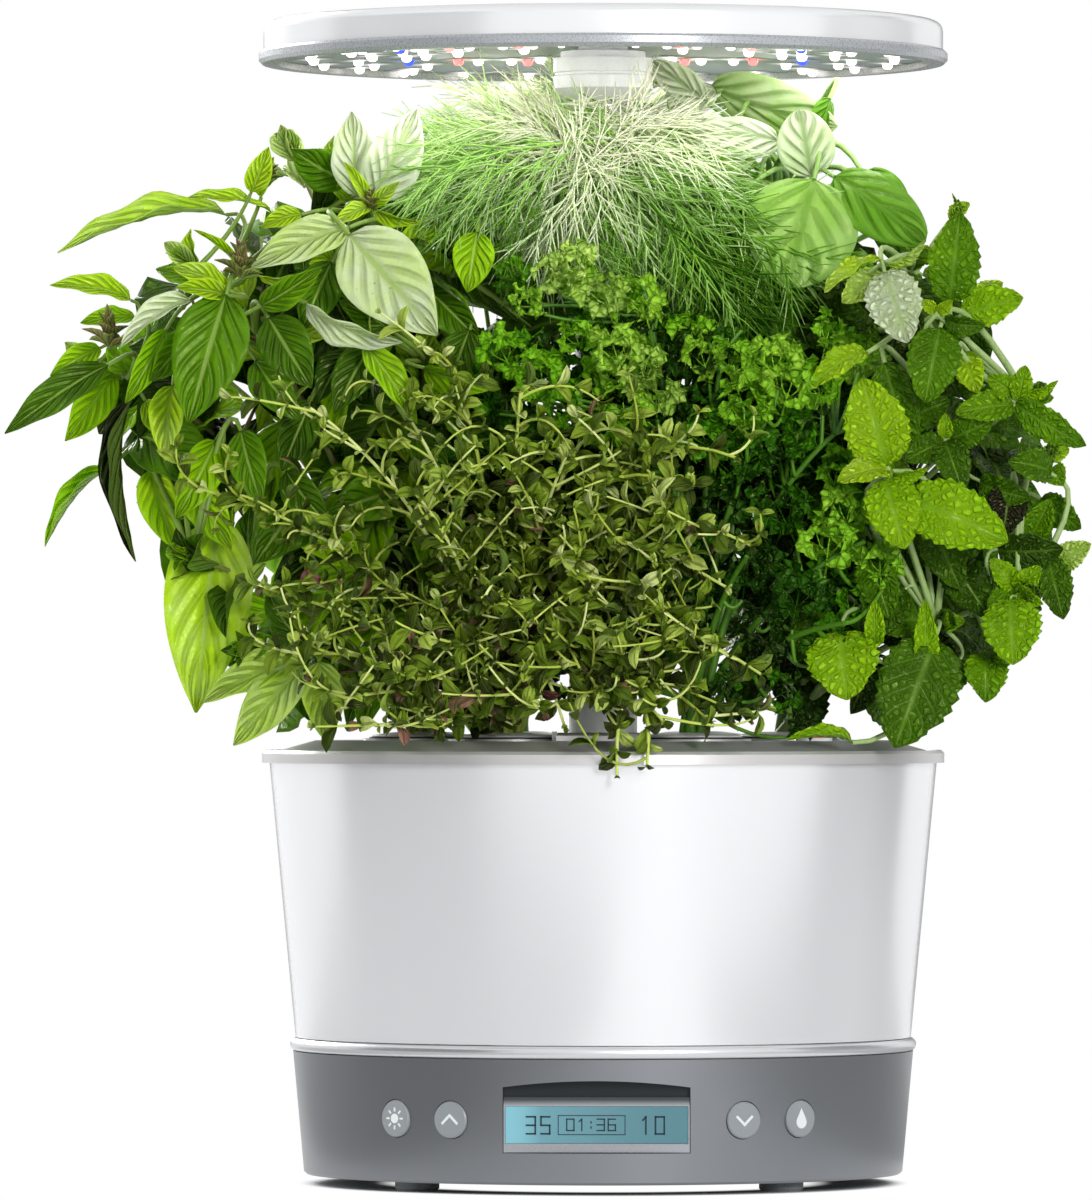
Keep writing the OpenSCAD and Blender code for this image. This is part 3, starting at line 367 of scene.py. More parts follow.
SMOOTH = {"bump": 0.0, "spread": 0.0}
BOARD = tone(152, 160, 168)
base_grey = moulded("base_grey", tone(132, 135, 139), rough=0.33, drift=0.02, metal=0.9, **SMOOTH)
finish(base_grey, "base_housing")
finish(moulded("floor_grey", tone(70, 73, 76), rough=0.6, bump=0.2), "base_floor")
# The feet are painted a paler grey than their dark rubber, as painted light, since they stand in the base's
# shadow.
finish(moulded("foot_rubber", tone(150, 150, 151), rough=0.8, grain=2600, bump=0.3), "rubber_feet")
finish(moulded("trim_silver", tone(216, 217, 219), rough=0.28, drift=0.015, metal=0.7, **SMOOTH), "trim_ring")
finish(moulded("bowl_white", tone(243, 243, 245), rough=0.24, drift=0.008, metal=0.55, coat=0.3, **SMOOTH),
       "bowl")
finish(moulded("deck_taupe", tone(204, 202, 201), rough=0.34, drift=0.02, metal=0.5, **SMOOTH), "grow_deck",
       "fill_lid", "mast_collar")
finish(moulded("hood_white", tone(240, 241, 241), rough=0.24, drift=0.01, metal=0.25, coat=0.3, **SMOOTH),
       "hood_shell")
finish(moulded("hood_lip", tone(176, 179, 182), rough=0.30, drift=0.02, bump=0.04, metal=0.3), "hood_bezel")
finish(moulded("lamp_board", BOARD, rough=0.5, drift=0.03, bump=0.1), "led_board")
finish(moulded("heat_aluminium", tone(200, 202, 205), rough=0.34, metal=1.0, stretch=(1, 14, 1)),
       "heat_plate")
finish(moulded("mast_white", tone(236, 237, 237), rough=0.30, drift=0.02, bump=0.04), "outer_mast",
       "hood_hub")
finish(moulded("mast_steel", tone(196, 198, 202), rough=0.26, metal=1.0, stretch=(18, 18, 1)),
       "inner_mast")
finish(moulded("screw_steel", tone(176, 178, 182), rough=0.3, metal=1.0), "floor_screws", "impeller_axle",
       "lid_pin")
finish(moulded("inner_black", tone(34, 35, 37), rough=0.5, bump=0.2), "power_inlet", "light_socket",
       "pump_stator", "pump_cover", "mast_plug")
finish(moulded("inner_white", tone(232, 233, 232), rough=0.45, bump=0.1), "pump_impeller", "float_guide",
       "drip_manifold")
finish(moulded("float_red", tone(196, 60, 48), rough=0.5, bump=0.1), "water_float")
finish(moulded("basket_black", tone(46, 47, 48), rough=0.5, bump=0.2),
       *[f"grow_basket_{i}" for i in range(1, 7)])
print("moulded finishes:", len([m for m in bpy.data.materials if m.users]))

# %% [markdown]
# The recess round the screen is painted dark, as painted shade, though it is one moulding with the grey
# base. Its walls lie further in than the round outer wall, so a mask from the distance to the axis finds
# them.

# %% Painted shade in the recess
RECESS_R, RECESS_HALF, RECESS_TOP, RECESS_FOOT = 0.1195, 0.0385, 0.0446, 0.0162
tree = base_grey.node_tree
place = here(tree)
axes = add(tree, "ShaderNodeSeparateXYZ", {0: place}).outputs
flat = add(tree, "ShaderNodeVectorMath", {0: place, 1: (1, 1, 0)}, operation="MULTIPLY").outputs["Vector"]
radius = add(tree, "ShaderNodeVectorMath", {0: flat}, operation="LENGTH").outputs["Value"]
recess_shade = maths(tree, "GREATER_THAN", axes[2], RECESS_FOOT)
for value, limit in ((radius, RECESS_R), (maths(tree, "ABSOLUTE", axes[0]), RECESS_HALF),
                     (axes[2], RECESS_TOP), (axes[1], 0.0)):
    recess_shade = maths(tree, "MULTIPLY", recess_shade, maths(tree, "LESS_THAN", value, limit))
skin = tree.nodes["Principled BSDF"]
coloured = skin.inputs["Base Color"].links[0].from_socket
# Painted shade: the walls of the recess are painted dark grey.
tree.links.new(mixed(tree, recess_shade, coloured, tone(46, 50, 53)), skin.inputs["Base Color"])
print("recess within", RECESS_R, "m of the axis")

# %% [markdown]
# Some finishes need more than grain. The two circuit boards are green with fine copper tracks. The
# growing sponges are brown peat held by foam, full of pores. The riser is a clear tube, and the
# screen's window is a thin smoked pane, both of them see-through by alpha, which stays light to render.

# %% Boards, sponges and clear parts
made, tree, skin = blank("circuit_green")
tracks = add(tree, "ShaderNodeTexBrick", {"Vector": here(tree), "Scale": 160.0, "Mortar Size": 0.03,
                                          "Color1": tone(28, 92, 58), "Color2": tone(24, 80, 52),
                                          "Mortar": tone(150, 120, 60)}).outputs[0]
put(tree, skin, {"Base Color": tracks, "Roughness": 0.35})
finish(made, "control_board", "button_boards")

made, tree, skin = blank("peat_sponge")
pores = add(tree, "ShaderNodeTexVoronoi", {"Vector": here(tree), "Scale": 620.0}).outputs["Distance"]
crumbs = noise(tree, here(tree), 240.0, 5.0)
brown = mixed(tree, between(tree, crumbs, 0.35, 0.65), tone(52, 38, 28), tone(104, 80, 58))
# The pores are painted near black, as painted shade in the holes.
peat_and_pore_shade = mixed(tree, between(tree, pores, 0.0, 0.35, 0.7, 0.0), brown, tone(20, 15, 12))
put(tree, skin, {"Base Color": peat_and_pore_shade, "Roughness": 0.95, "Normal": relief(tree, pores, 0.8, 0.0008)})
finish(made, *[f"grow_sponge_{i}" for i in range(1, 7)])


def clear(name, colour, alpha, rough):
    """A thin see-through plastic with a trace of cloudiness in its gloss."""
    made, tree, skin = blank(name)
    haze = noise(tree, here(tree), 90.0, 3.0)
    put(tree, skin, {"Base Color": colour, "Alpha": alpha,
                     "Roughness": between(tree, haze, 0.3, 0.7, rough, rough + 0.05)})
    return made


finish(clear("riser_clear", tone(225, 232, 235), 0.35, 0.08), "riser_tube")
finish(clear("window_smoke", tone(60, 78, 84), 0.12, 0.05), "display_window")
print("see-through parts: riser_tube, display_window")

# %% [markdown]
# ## The screen
#
# The screen sits in the recess: a silver plate above and below, and a teal liquid-crystal field that its
# backlight makes brighter at the left end. The field is a thin plate just in front of the module, inside
# the window's thickness, so that no two faces coincide. The figures are dark strokes before it, small
# bars with real thickness, because a bar keeps a sharp edge from any distance.

# %% The teal field and the silver plates
SCREEN_HALF = 0.0354
teal, tree, skin = blank("teal_field")
across = add(tree, "ShaderNodeSeparateXYZ", {0: here(tree)}).outputs[0]
even = ramped(tree, between(tree, across, -SCREEN_HALF, SCREEN_HALF), [
    (0.0, (140, 200, 214)), (0.10, (116, 166, 178)), (0.55, (108, 152, 162)), (1.0, (98, 142, 152))])
cloud = maths(tree, "MULTIPLY", noise(tree, here(tree), 160.0), 0.06)
field = mixed(tree, cloud, even, tone(60, 110, 122))
put(tree, skin, {"Base Color": mixed(tree, 0.6, field, (0, 0, 0, 1)), "Emission Color": field,
                 "Emission Strength": 0.80, "Roughness": 0.7, "Specular IOR Level": 0.05})
finish(teal, "lcd_module")
silver = moulded("plate_silver", tone(160, 162, 166), rough=0.30, metal=0.6, stretch=(1, 1, 30), drift=0.06)
tree, skin = silver.node_tree, silver.node_tree.nodes["Principled BSDF"]
height = add(tree, "ShaderNodeSeparateXYZ", {0: here(tree)}).outputs[2]
coloured = skin.inputs["Base Color"].links[0].from_socket
# Painted shade: the upper plate is painted dark grey, under the top of the recess.
tree.links.new(mixed(tree, between(tree, height, 0.0345, 0.0375), coloured, tone(66, 70, 74)),
               skin.inputs["Base Color"])
finish(silver, "display_bezel")

# %% The figures


def piece(name, verts, faces, material, body=None, smooth=True):
    """A mesh object made of points in metres and faces, with its material, riding on a body."""
    mesh = bpy.data.meshes.new(name)
    mesh.from_pydata([tuple(v) for v in verts], [], faces, shade_flat=not smooth)
    mesh.validate()
    mesh.materials.append(material)
    made = bpy.data.objects.new(name, mesh)
    scene.collection.objects.link(made)
    if body:
        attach(made, body)
    return made


def bars(lines, width, front, back):
    """Points and faces of flat bars along 2-D lines (x, z), in millimetres, lying between two depths."""
    verts, faces = [], []
    for a, b in lines:
        a, b = Vector(a), Vector(b)
        along = (b - a).normalized() * width / 2
        side = Vector((-along.y, along.x))
        loop = [a - along - side, b + along - side, b + along + side, a - along + side]
        n = len(verts)
        verts += [Vector((p.x, y, p.y)) * MM for y in (front, back) for p in loop]
        faces += [(n, n + 1, n + 2, n + 3), (n + 7, n + 6, n + 5, n + 4)]
        faces += [(n + i, n + 4 + i, n + 4 + (i + 1) % 4, n + (i + 1) % 4) for i in range(4)]
    return verts, faces


SHAPES = {  # strokes of each figure in a box one wide and two tall
    "0": [((0, 0), (0, 2)), ((0, 2), (1, 2)), ((1, 2), (1, 0)), ((1, 0), (0, 0))],
    "1": [((0.55, 0), (0.55, 2)), ((0.55, 2), (0.2, 1.6))],
    "3": [((0, 2), (1, 2)), ((1, 2), (1, 0)), ((0, 1), (1, 1)), ((0, 0), (1, 0))],
    "5": [((1, 2), (0, 2)), ((0, 2), (0, 1)), ((0, 1), (1, 1)), ((1, 1), (1, 0)), ((1, 0), (0, 0))],
    "6": [((1, 2), (0, 2)), ((0, 2), (0, 0)), ((0, 0), (1, 0)), ((1, 0), (1, 1)), ((1, 1), (0, 1))],
    ":": [((0.3, 0.45), (0.3, 0.62)), ((0.3, 1.35), (0.3, 1.52))],
}


def figures(text, left, foot, wide, tall, gap):
    """Strokes of a line of figures, from its left foot."""
    lines = []
    for mark in text:
        for a, b in SHAPES[mark]:
            lines.append(((left + a[0] * wide, foot + a[1] * tall / 2),
                          (left + b[0] * wide, foot + b[1] * tall / 2)))
        left += (0.6 if mark == ":" else 1.0) * wide + gap
    return lines


ink = moulded("figure_ink", tone(8, 40, 52), rough=0.7, drift=0.05)
(_, face_y, foot), (_, _, top) = [[v / MM for v in corner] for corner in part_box("lcd_module")]
left, right = [corner[0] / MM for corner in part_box("display_window")]
half = (top - foot) / 2
verts, faces = bars([((left + half, foot + half), (right - half, foot + half))], 2 * half - 0.2,
                    face_y - 0.14, face_y - 0.04)
field = piece("screen_field", verts, faces, teal, "base", smooth=False)
big = figures("35", -27.2, 23.9, 3.4, 6.6, 2.2) + figures("10", 17.2, 23.9, 3.4, 6.6, 2.2)
small = figures("01:36", -11.6, 25.2, 2.8, 4.4, 1.5)
corners = [(-14.9, 23.6), (11.0, 23.6), (11.0, 31.0), (-14.9, 31.0)]
box = list(zip(corners, corners[1:] + corners[:1]))
verts, faces = [], []
for lines, width in ((big, 0.66), (small, 0.5), (box, 0.32)):
    more, extra = bars(lines, width, face_y - 0.45, face_y - 0.16)
    faces += [tuple(i + len(verts) for i in f) for f in extra]
    verts += more
screen = piece("screen_figures", verts, faces, ink, "base", smooth=False)
print("strokes:", len(faces) // 6)

# %% [markdown]
# ## The marks on the buttons
#
# The four keys carry a sun, an arrow up, an arrow down and a drop of water. On the real keys they are
# printed a hair proud of the cap, and the caps follow the round wall. So each mark is drawn flat, as
# small outlines, and then wrapped onto the cap's own radius with a fifth of a millimetre of relief.

# %% Wrapped marks
KEY_R, KEY_UP, RELIEF, ROOT = 121.95, 29.0, 0.2, 0.15


def wrapped(name, outlines, degrees, body, material):
    """Raised outlines (along the wall, up) in millimetres, wrapped on the round wall at that angle."""
    verts, faces = [], []
    for loop in outlines:
        n, count = len(verts), len(loop)
        for radius in (KEY_R + RELIEF, KEY_R - ROOT):
            for s, z in loop:
                angle = math.radians(degrees) + s / KEY_R
                verts.append(Vector((radius * math.sin(angle), -radius * math.cos(angle), KEY_UP + z)) * MM)
        faces.append(tuple(n + i for i in range(count)))
        faces.append(tuple(n + count + i for i in reversed(range(count))))
        faces += [(n + i, n + count + i, n + count + (i + 1) % count, n + (i + 1) % count)
                  for i in range(count)]
    made = piece(name, verts, faces, material, body, smooth=False)


def ring_of(radius, count=20):
    """A round outline."""
    return [(radius * math.cos(math.tau * i / count), radius * math.sin(math.tau * i / count))
            for i in range(count)]


def strip(a, b, width):
    """A bar from a to b as an outline."""
    a, b = Vector(a), Vector(b)
    side = (b - a).normalized() * width / 2
    side = Vector((side.y, -side.x))
    return [a + side, b + side, b - side, a - side]


sun = [ring_of(1.9)]
for i in range(8):
    way = Vector((math.cos(math.tau * i / 8), math.sin(math.tau * i / 8)))
    sun.append(strip(way * 2.7, way * 4.3, 0.75))
arrow = [strip((-3.5, -1.6), (0.25, 2.0), 1.05), strip((-0.25, 2.0), (3.5, -1.6), 1.05)]
drop = [(0, 4.2)]
for i in range(17):
    angle = math.radians(28 - i * 14.75)
    drop.append((2.55 * math.cos(angle), -1.2 + 2.55 * math.sin(angle)))
drop = drop[::-1]
mark_white = moulded("mark_white", tone(238, 240, 240), rough=0.5, drift=0.02)
arrow_down = [[(s, -z) for s, z in loop[::-1]] for loop in arrow]
for name, outlines, degrees, button in (
        ("sun_mark", sun, -40.5, "light_button"), ("up_mark", arrow, -28.0, "up_button"),
        ("down_mark", arrow_down, 28.0, "down_button"), ("drop_mark", [drop], 40.5, "feed_button")):
    wrapped(name, outlines, degrees, button, mark_white)
finish(moulded("key_grey", tone(150, 155, 158), rough=0.34, drift=0.03, bump=0.08), "light_button",
       "up_button", "down_button", "feed_button")
print("marks on 4 keys")

# %% [markdown]
# ## Collars on the pods
#
# Each herb grows through a round plastic collar that lies on its pod and keeps light off the peat. It
# is a shape turned round an axis, so a profile is drawn once and turned, like work on a lathe.

# %% Turned collars


def turned(name, profile, centre, material, body, count=48):
    """A closed profile of (radius, height) in millimetres, turned about an upright axis at centre."""
    verts, faces, n = [], [], len(profile)
    for i in range(count):
        angle = math.tau * i / count
        for radius, height in profile:
            verts.append(Vector((centre[0] + radius * math.cos(angle),
                                 centre[1] + radius * math.sin(angle), height)) * MM)
    for i in range(count):
        a, b = i * n, (i + 1) % count * n
        faces += [(a + j, b + j, b + (j + 1) % n, a + (j + 1) % n) for j in range(n)]
    return piece(name, verts, faces, material, body)


POD_RING = 72
PODS = [(POD_RING * math.cos(math.radians(60 * i)), POD_RING * math.sin(math.radians(60 * i)))
        for i in range(6)]
HERBS = ["mint", "basil", "dill", "thai_basil", "thyme", "parsley"]
BODIES = ["pod_1", "deck", "deck", "deck", "pod_5", "pod_6"]
collar = [(8.0, 177.5), (12, 177.35), (19.6, 177.3), (20.2, 177.6), (19.8, 178.0), (16.5, 178.5),
          (11, 179.2), (8.4, 179.3), (7.7, 178.8)]
collar_white = moulded("collar_white", tone(228, 226, 224), rough=0.38, drift=0.03, bump=0.1)
for herb, centre, body in zip(HERBS, PODS, BODIES):
    made = turned(f"{herb}_collar", collar, centre, collar_white, body)
print("collars:", len(PODS), "centre of the first:", PODS[0])

# %% [markdown]
# ## Points, rods and repeated shapes
#
# Everything from here on repeats: lamps, threads, stems and leaves. Two small Geometry Nodes trees make
# them. The first puts a shape from a collection on every point of a mesh. Each point says, in named
# attributes, which way the shape points, which way its upper side faces, its size, which shape it is,
# and its tint. The second turns lines of points into round rods whose thickness is an attribute too.
# Both end in real geometry with one material.

# %% The two trees


def open_tree(title, sockets):
    """A new Geometry Nodes tree with its named inputs."""
    tree = bpy.data.node_groups.new(title, "GeometryNodeTree")
    for name, kind in sockets:
        tree.interface.new_socket(name, in_out="INPUT", socket_type=kind)
    tree.interface.new_socket("Geometry", in_out="OUTPUT", socket_type="NodeSocketGeometry")
    return tree, tree.nodes.new("NodeGroupInput"), tree.nodes.new("NodeGroupOutput")


def close_tree(tree, last, got, gives):
    """Ends a tree with real geometry of one material."""
    real = add(tree, "GeometryNodeRealizeInstances", {"Geometry": last.outputs[0]})
    done = add(tree, "GeometryNodeSetMaterial",
               {"Geometry": real.outputs[0], "Material": got.outputs["Finish"]})
    tree.links.new(done.outputs[0], gives.inputs[0])
    return tree


def named(tree, name, kind):
    """The value of an attribute at each point."""
    return add(tree, "GeometryNodeInputNamedAttribute", {"Name": name}, data_type=kind).outputs[0]


tree, got, gives = open_tree("Shapes on points", [
    ("Geometry", "NodeSocketGeometry"), ("Shapes", "NodeSocketCollection"), ("Size", "NodeSocketFloat"),
    ("Finish", "NodeSocketMaterial")])
shapes = add(tree, "GeometryNodeCollectionInfo",
             {"Collection": got.outputs["Shapes"], "Separate Children": True, "Reset Children": True})
turn = add(tree, "FunctionNodeAxesToRotation",
           {0: named(tree, "aim", "FLOAT_VECTOR"), 1: named(tree, "face", "FLOAT_VECTOR")},
           primary_axis="Y", secondary_axis="Z")
grown = add(tree, "ShaderNodeVectorMath",
            {0: named(tree, "size", "FLOAT_VECTOR"), "Scale": got.outputs["Size"]}, operation="SCALE")
placed = add(tree, "GeometryNodeInstanceOnPoints",
             {"Points": got.outputs["Geometry"], "Instance": shapes.outputs[0], "Pick Instance": True,
              "Instance Index": named(tree, "pick", "INT"), "Rotation": turn.outputs[0],
              "Scale": grown.outputs[0]})
scatter_tree = close_tree(tree, placed, got, gives)

tree, got, gives = open_tree("Rods along lines", [
    ("Geometry", "NodeSocketGeometry"), ("Sides", "NodeSocketInt"), ("Thickness", "NodeSocketFloat"),
    ("Finish", "NodeSocketMaterial")])
lines = add(tree, "GeometryNodeMeshToCurve", {"Mesh": got.outputs["Geometry"]})
ring = add(tree, "GeometryNodeCurvePrimitiveCircle", {"Resolution": got.outputs["Sides"], "Radius": 1.0})
thick = maths(tree, "MULTIPLY", named(tree, "thick", "FLOAT"), got.outputs["Thickness"])
tubes = add(tree, "GeometryNodeCurveToMesh",
            {"Curve": lines.outputs[0], "Profile Curve": ring.outputs[0], "Scale": thick, "Fill Caps": True})
rod_tree = close_tree(tree, tubes, got, gives)
print("trees:", scatter_tree.name, "and", rod_tree.name)

# %% Growing a piece from a tree


def mark(mesh, title, values):
    """Writes one number for each point of a mesh."""
    layer = mesh.attributes.new(title, "FLOAT", "POINT")
    layer.data.foreach_set("value", np.array(values, np.float32))


def unit_shape(name, verts, faces, **marks):
    """A mesh object one unit long that is only there to be scattered, with numbers for its points."""
    mesh = bpy.data.meshes.new(name)
    mesh.from_pydata([tuple(v) for v in verts], [], faces, shade_flat=False)
    for title, values in marks.items():
        mark(mesh, title, values)
    return bpy.data.objects.new(name, mesh)


def triangles(made):
    """How many triangles a mesh object has."""
    return sum(len(p.vertices) - 2 for p in made.data.polygons)


def grow(name, mesh, tree, values):
    """Runs the tree on a mesh and keeps the result as a plain mesh object."""
    made = bpy.data.objects.new(name, mesh)
    scene.collection.objects.link(made)
    nodes_on = made.modifiers.new("grow", "NODES")
    nodes_on.node_group = tree
    for item in tree.interface.items_tree:
        if item.in_out == "INPUT" and item.name in values:
            nodes_on[item.identifier] = values[item.name]
    graph = bpy.context.evaluated_depsgraph_get()
    result = bpy.data.meshes.new_from_object(made.evaluated_get(graph), preserve_all_data_layers=True,
                                             depsgraph=graph)
    made.modifiers.clear()
    made.data = result
    result.name = name
    return made


def scatter(name, rows, shapes, material):
    """Shapes on points. A row is (place, aim, face, (width, length, height), pick, tint), in metres."""
    mesh = bpy.data.meshes.new(name + "_points")
    mesh.from_pydata([tuple(r[0]) for r in rows], [], [])
    kinds = {"aim": "FLOAT_VECTOR", "face": "FLOAT_VECTOR", "size": "FLOAT_VECTOR", "pick": "INT",
             "tint": "FLOAT"}
    for index, (title, kind) in enumerate(kinds.items(), 1):
        layer = mesh.attributes.new(title, kind, "POINT")
        layer.data.foreach_set("vector" if kind == "FLOAT_VECTOR" else "value",
                               np.array([r[index] for r in rows]).ravel())
    group = bpy.data.collections.new(name + "_shapes")
    for shape in shapes:
        group.objects.link(shape)
    made = grow(name, mesh, scatter_tree, {"Shapes": group, "Size": 1.0, "Finish": material})
    bpy.data.collections.remove(group)
    return made


def rods(name, lines, material, sides=6, thickness=1.0):
    """Round rods. A line is (points in metres, radii in metres, tint)."""
    verts, edges, radii, tints = [], [], [], []
    for points, widths, tint in lines:
        n = len(verts)
        verts += [tuple(p) for p in points]
        edges += [(n + i, n + i + 1) for i in range(len(points) - 1)]
        radii += list(widths)
        tints += [tint] * len(points)
    mesh = bpy.data.meshes.new(name + "_lines")
    mesh.from_pydata(verts, edges, [])
    mark(mesh, "thick", radii)
    mark(mesh, "tint", tints)
    return grow(name, mesh, rod_tree, {"Sides": sides, "Thickness": thickness, "Finish": material})


print("helpers ready for shapes and rods")

# %% [markdown]
# ## The lamps in the hood
#
# Each lamp is a small square chip under a low clear lens, and it lights the board around itself. The
# chips are solids of the frame, so their places are read from their own meshes, as the middles of the
# separate islands. On each comes a low lens that glows all over, and round it a thin disc on the board
# whose glow fades outwards: painted light, where the chip lights the board. Both come from the first tree.

# %% Where the chips are


def islands(name):
    """Middle of each separate solid of a node."""
    bm = bmesh.new()
    bm.from_mesh(nodes[name].data)
    bmesh.ops.remove_doubles(bm, verts=bm.verts, dist=1e-6)
    left, found = set(bm.verts), []
    while left:
        todo, group = [left.pop()], []
        while todo:
            vert = todo.pop()
            group.append(vert.co.copy())
            for edge in vert.link_edges:
                other = edge.other_vert(vert)
                if other in left:
                    left.remove(other)
                    todo.append(other)
        found.append(sum(group, Vector()) / len(group))
    bm.free()
    return sorted(found, key=lambda middle: middle[:])


chips = {colour: islands(f"{colour}_leds") for colour in ("white", "red", "blue")}
print({colour: len(places) for colour, places in chips.items()})

# %% The glow


def disc(name, thick, count=14):
    """A thin disc of radius one facing +Z, that knows how far out each of its points is."""
    verts = [(0, 0, 0)] + [(x, y, 0) for x, y in ring_of(1.0, count)]
    n = len(verts)
    verts += [(x, y, -thick) for x, y, z in verts]
    faces = []
    for i in range(count):
        a, b = 1 + i, 1 + (i + 1) % count
        faces += [(0, a, b), (n, n + b, n + a), (a, n + a, n + b, b)]
    return unit_shape(name, verts, faces, out=[0.0 if i % n == 0 else 1.0 for i in range(2 * n)])


def lens(name, count=10):
    """A low dome facing +Z, one unit wide each way from its middle and one high."""
    rings = [(1.0, 0.0), (1.0, 0.35), (0.86, 0.72), (0.5, 0.95)]
    verts = [(x, y, z) for r, z in rings for x, y in ring_of(r, count)] + [(0, 0, 1.0), (0, 0, 0.0)]
    top, foot = len(verts) - 2, len(verts) - 1
    faces = []
    for k in range(len(rings) - 1):
        faces += [(k * count + i, k * count + (i + 1) % count, (k + 1) * count + (i + 1) % count,
                   (k + 1) * count + i) for i in range(count)]
    last = (len(rings) - 1) * count
    faces += [(last + i, last + (i + 1) % count, top) for i in range(count)]
    faces += [((i + 1) % count, i, foot) for i in range(count)]
    return unit_shape(name, verts, faces)


def lit(name, body_colour, light, strength, fade=True):
    """A surface that glows: from the middle outwards when it fades, or all over."""
    made, tree, skin = blank(name)
    cloud = maths(tree, "MULTIPLY", noise(tree, here(tree), 300.0), 0.1)
    if fade:
        left = maths(tree, "SUBTRACT", 1.0, number(tree, "out"), clamp=True)
        light = mixed(tree, maths(tree, "POWER", left, 1.7), (0, 0, 0, 1), light)
    put(tree, skin, {"Base Color": mixed(tree, cloud, body_colour, (1, 1, 1, 1)), "Emission Color": light,
                     "Emission Strength": strength, "Roughness": 0.5})
    return made


halo, dome = disc("shape_00", 0.02), lens("shape_01")
DISH = 6 / 131.7
# The glow on the board is painted light round each chip.
LIGHTS = {  # glow on the board, colour of the lens, colour of the chip and its strength
    "white": (tone(255, 246, 246), tone(255, 240, 238), tone(255, 246, 244), 0.9),
    "red": (tone(255, 130, 130), tone(255, 96, 96), tone(214, 70, 70), 0.55),
    "blue": (tone(60, 90, 235), tone(40, 60, 220), tone(40, 70, 200), 0.6)}
for colour, (around, core, shell, strength) in LIGHTS.items():
    rings, spots = [], []
    for place in chips[colour]:
        out = Vector((place.x, place.y, 0)).normalized()
        slope = Vector((out.x, out.y, -DISH)).normalized()
        down = Vector((-out.x * DISH, -out.y * DISH, -1)).normalized()
        rings.append((place - down * 0.00028, slope, down, (0.0085, 0.0085, 0.0085), 0, 0.0))
        spots.append((place - down * 0.0003, slope, down, (0.0021, 0.0021, 0.0024), 0, 0.0))
    # Painted light: a glowing disc on the board round each chip.
    made = scatter(f"{colour}_halos", rings, [halo], lit(f"{colour}_halo", BOARD, around, 1.2))
    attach(made, "hood")
    made = scatter(f"{colour}_lenses", spots, [dome], lit(f"{colour}_lens", core, core, 3.0, fade=False))
    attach(made, "hood")
    finish(lit(f"{colour}_chip", shell, shell, strength, fade=False), f"{colour}_leds")
print("lit chips:", sum(len(places) for places in chips.values()))

# %% [markdown]
# ## The cable in the mast
#
# The lamp's cable runs inside the mast, and since the mast slides in and out it is wound as a long
# spring, like a telephone lead. It is a rod along a helix that rides on the deck. When the hood comes down
# the real spring closes.

# %% The coiled cable
low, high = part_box("mast_cable")[0].z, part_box("mast_cable")[1].z
turns, steps, cable_r, coil_r, straight = 46, 14, 0.0008, 0.003, 0.006
points = [Vector((0, 0, low))]
for i in range(turns * steps + 1):
    share, angle = i / (turns * steps), math.tau * i / steps
    points.append(Vector((coil_r * math.cos(angle), coil_r * math.sin(angle),
                          low + straight + share * (high - low - 2 * straight))))
points.append(Vector((0, 0, high)))
coil = rods("coiled_cable", [(points, [cable_r] * len(points), 0.0)],
            moulded("cable_grey", tone(70, 72, 74), rough=0.55, bump=0.2), sides=6)
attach(coil, "deck")
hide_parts("mast_cable")
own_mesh(coil)
print("cable from", round(low, 4), "to", round(high, 4))

# %% [markdown]
# ## How a leaf is made
#
# A real leaf is a thin closed skin: a midrib, side veins that sink between swollen cells, an edge that
# is smooth, toothed or frilled, and a bend under its own weight. So every leaf shape here is one closed
# shell over a grid, one unit long and one wide, whose outline, fold, arch, swelling, teeth and waves are
# numbers. The base is at the origin and the tip exactly one unit along +Y, so that a leaf can be put
# between two points. The grid also gives its UV map, from which the material draws the veins.

# %% The leaf maker


def blade(v, swell, taper):
    """Half width of a leaf from base to tip, at most half a unit."""
    peak = swell / (swell + taper)
    return 0.5 * (v ** swell * (1 - v) ** taper) / (peak ** swell * (1 - peak) ** taper)


def grid_rim(rows, columns):
    """Neighbours along the edge of a grid of points, round it once."""
    w = columns + 1
    rim = list(range(columns)) + [i * w + columns for i in range(rows)]
    rim += [rows * w + j for j in range(columns, 0, -1)] + [i * w for i in range(rows, 0, -1)]
    return list(zip(rim, rim[1:] + rim[:1]))


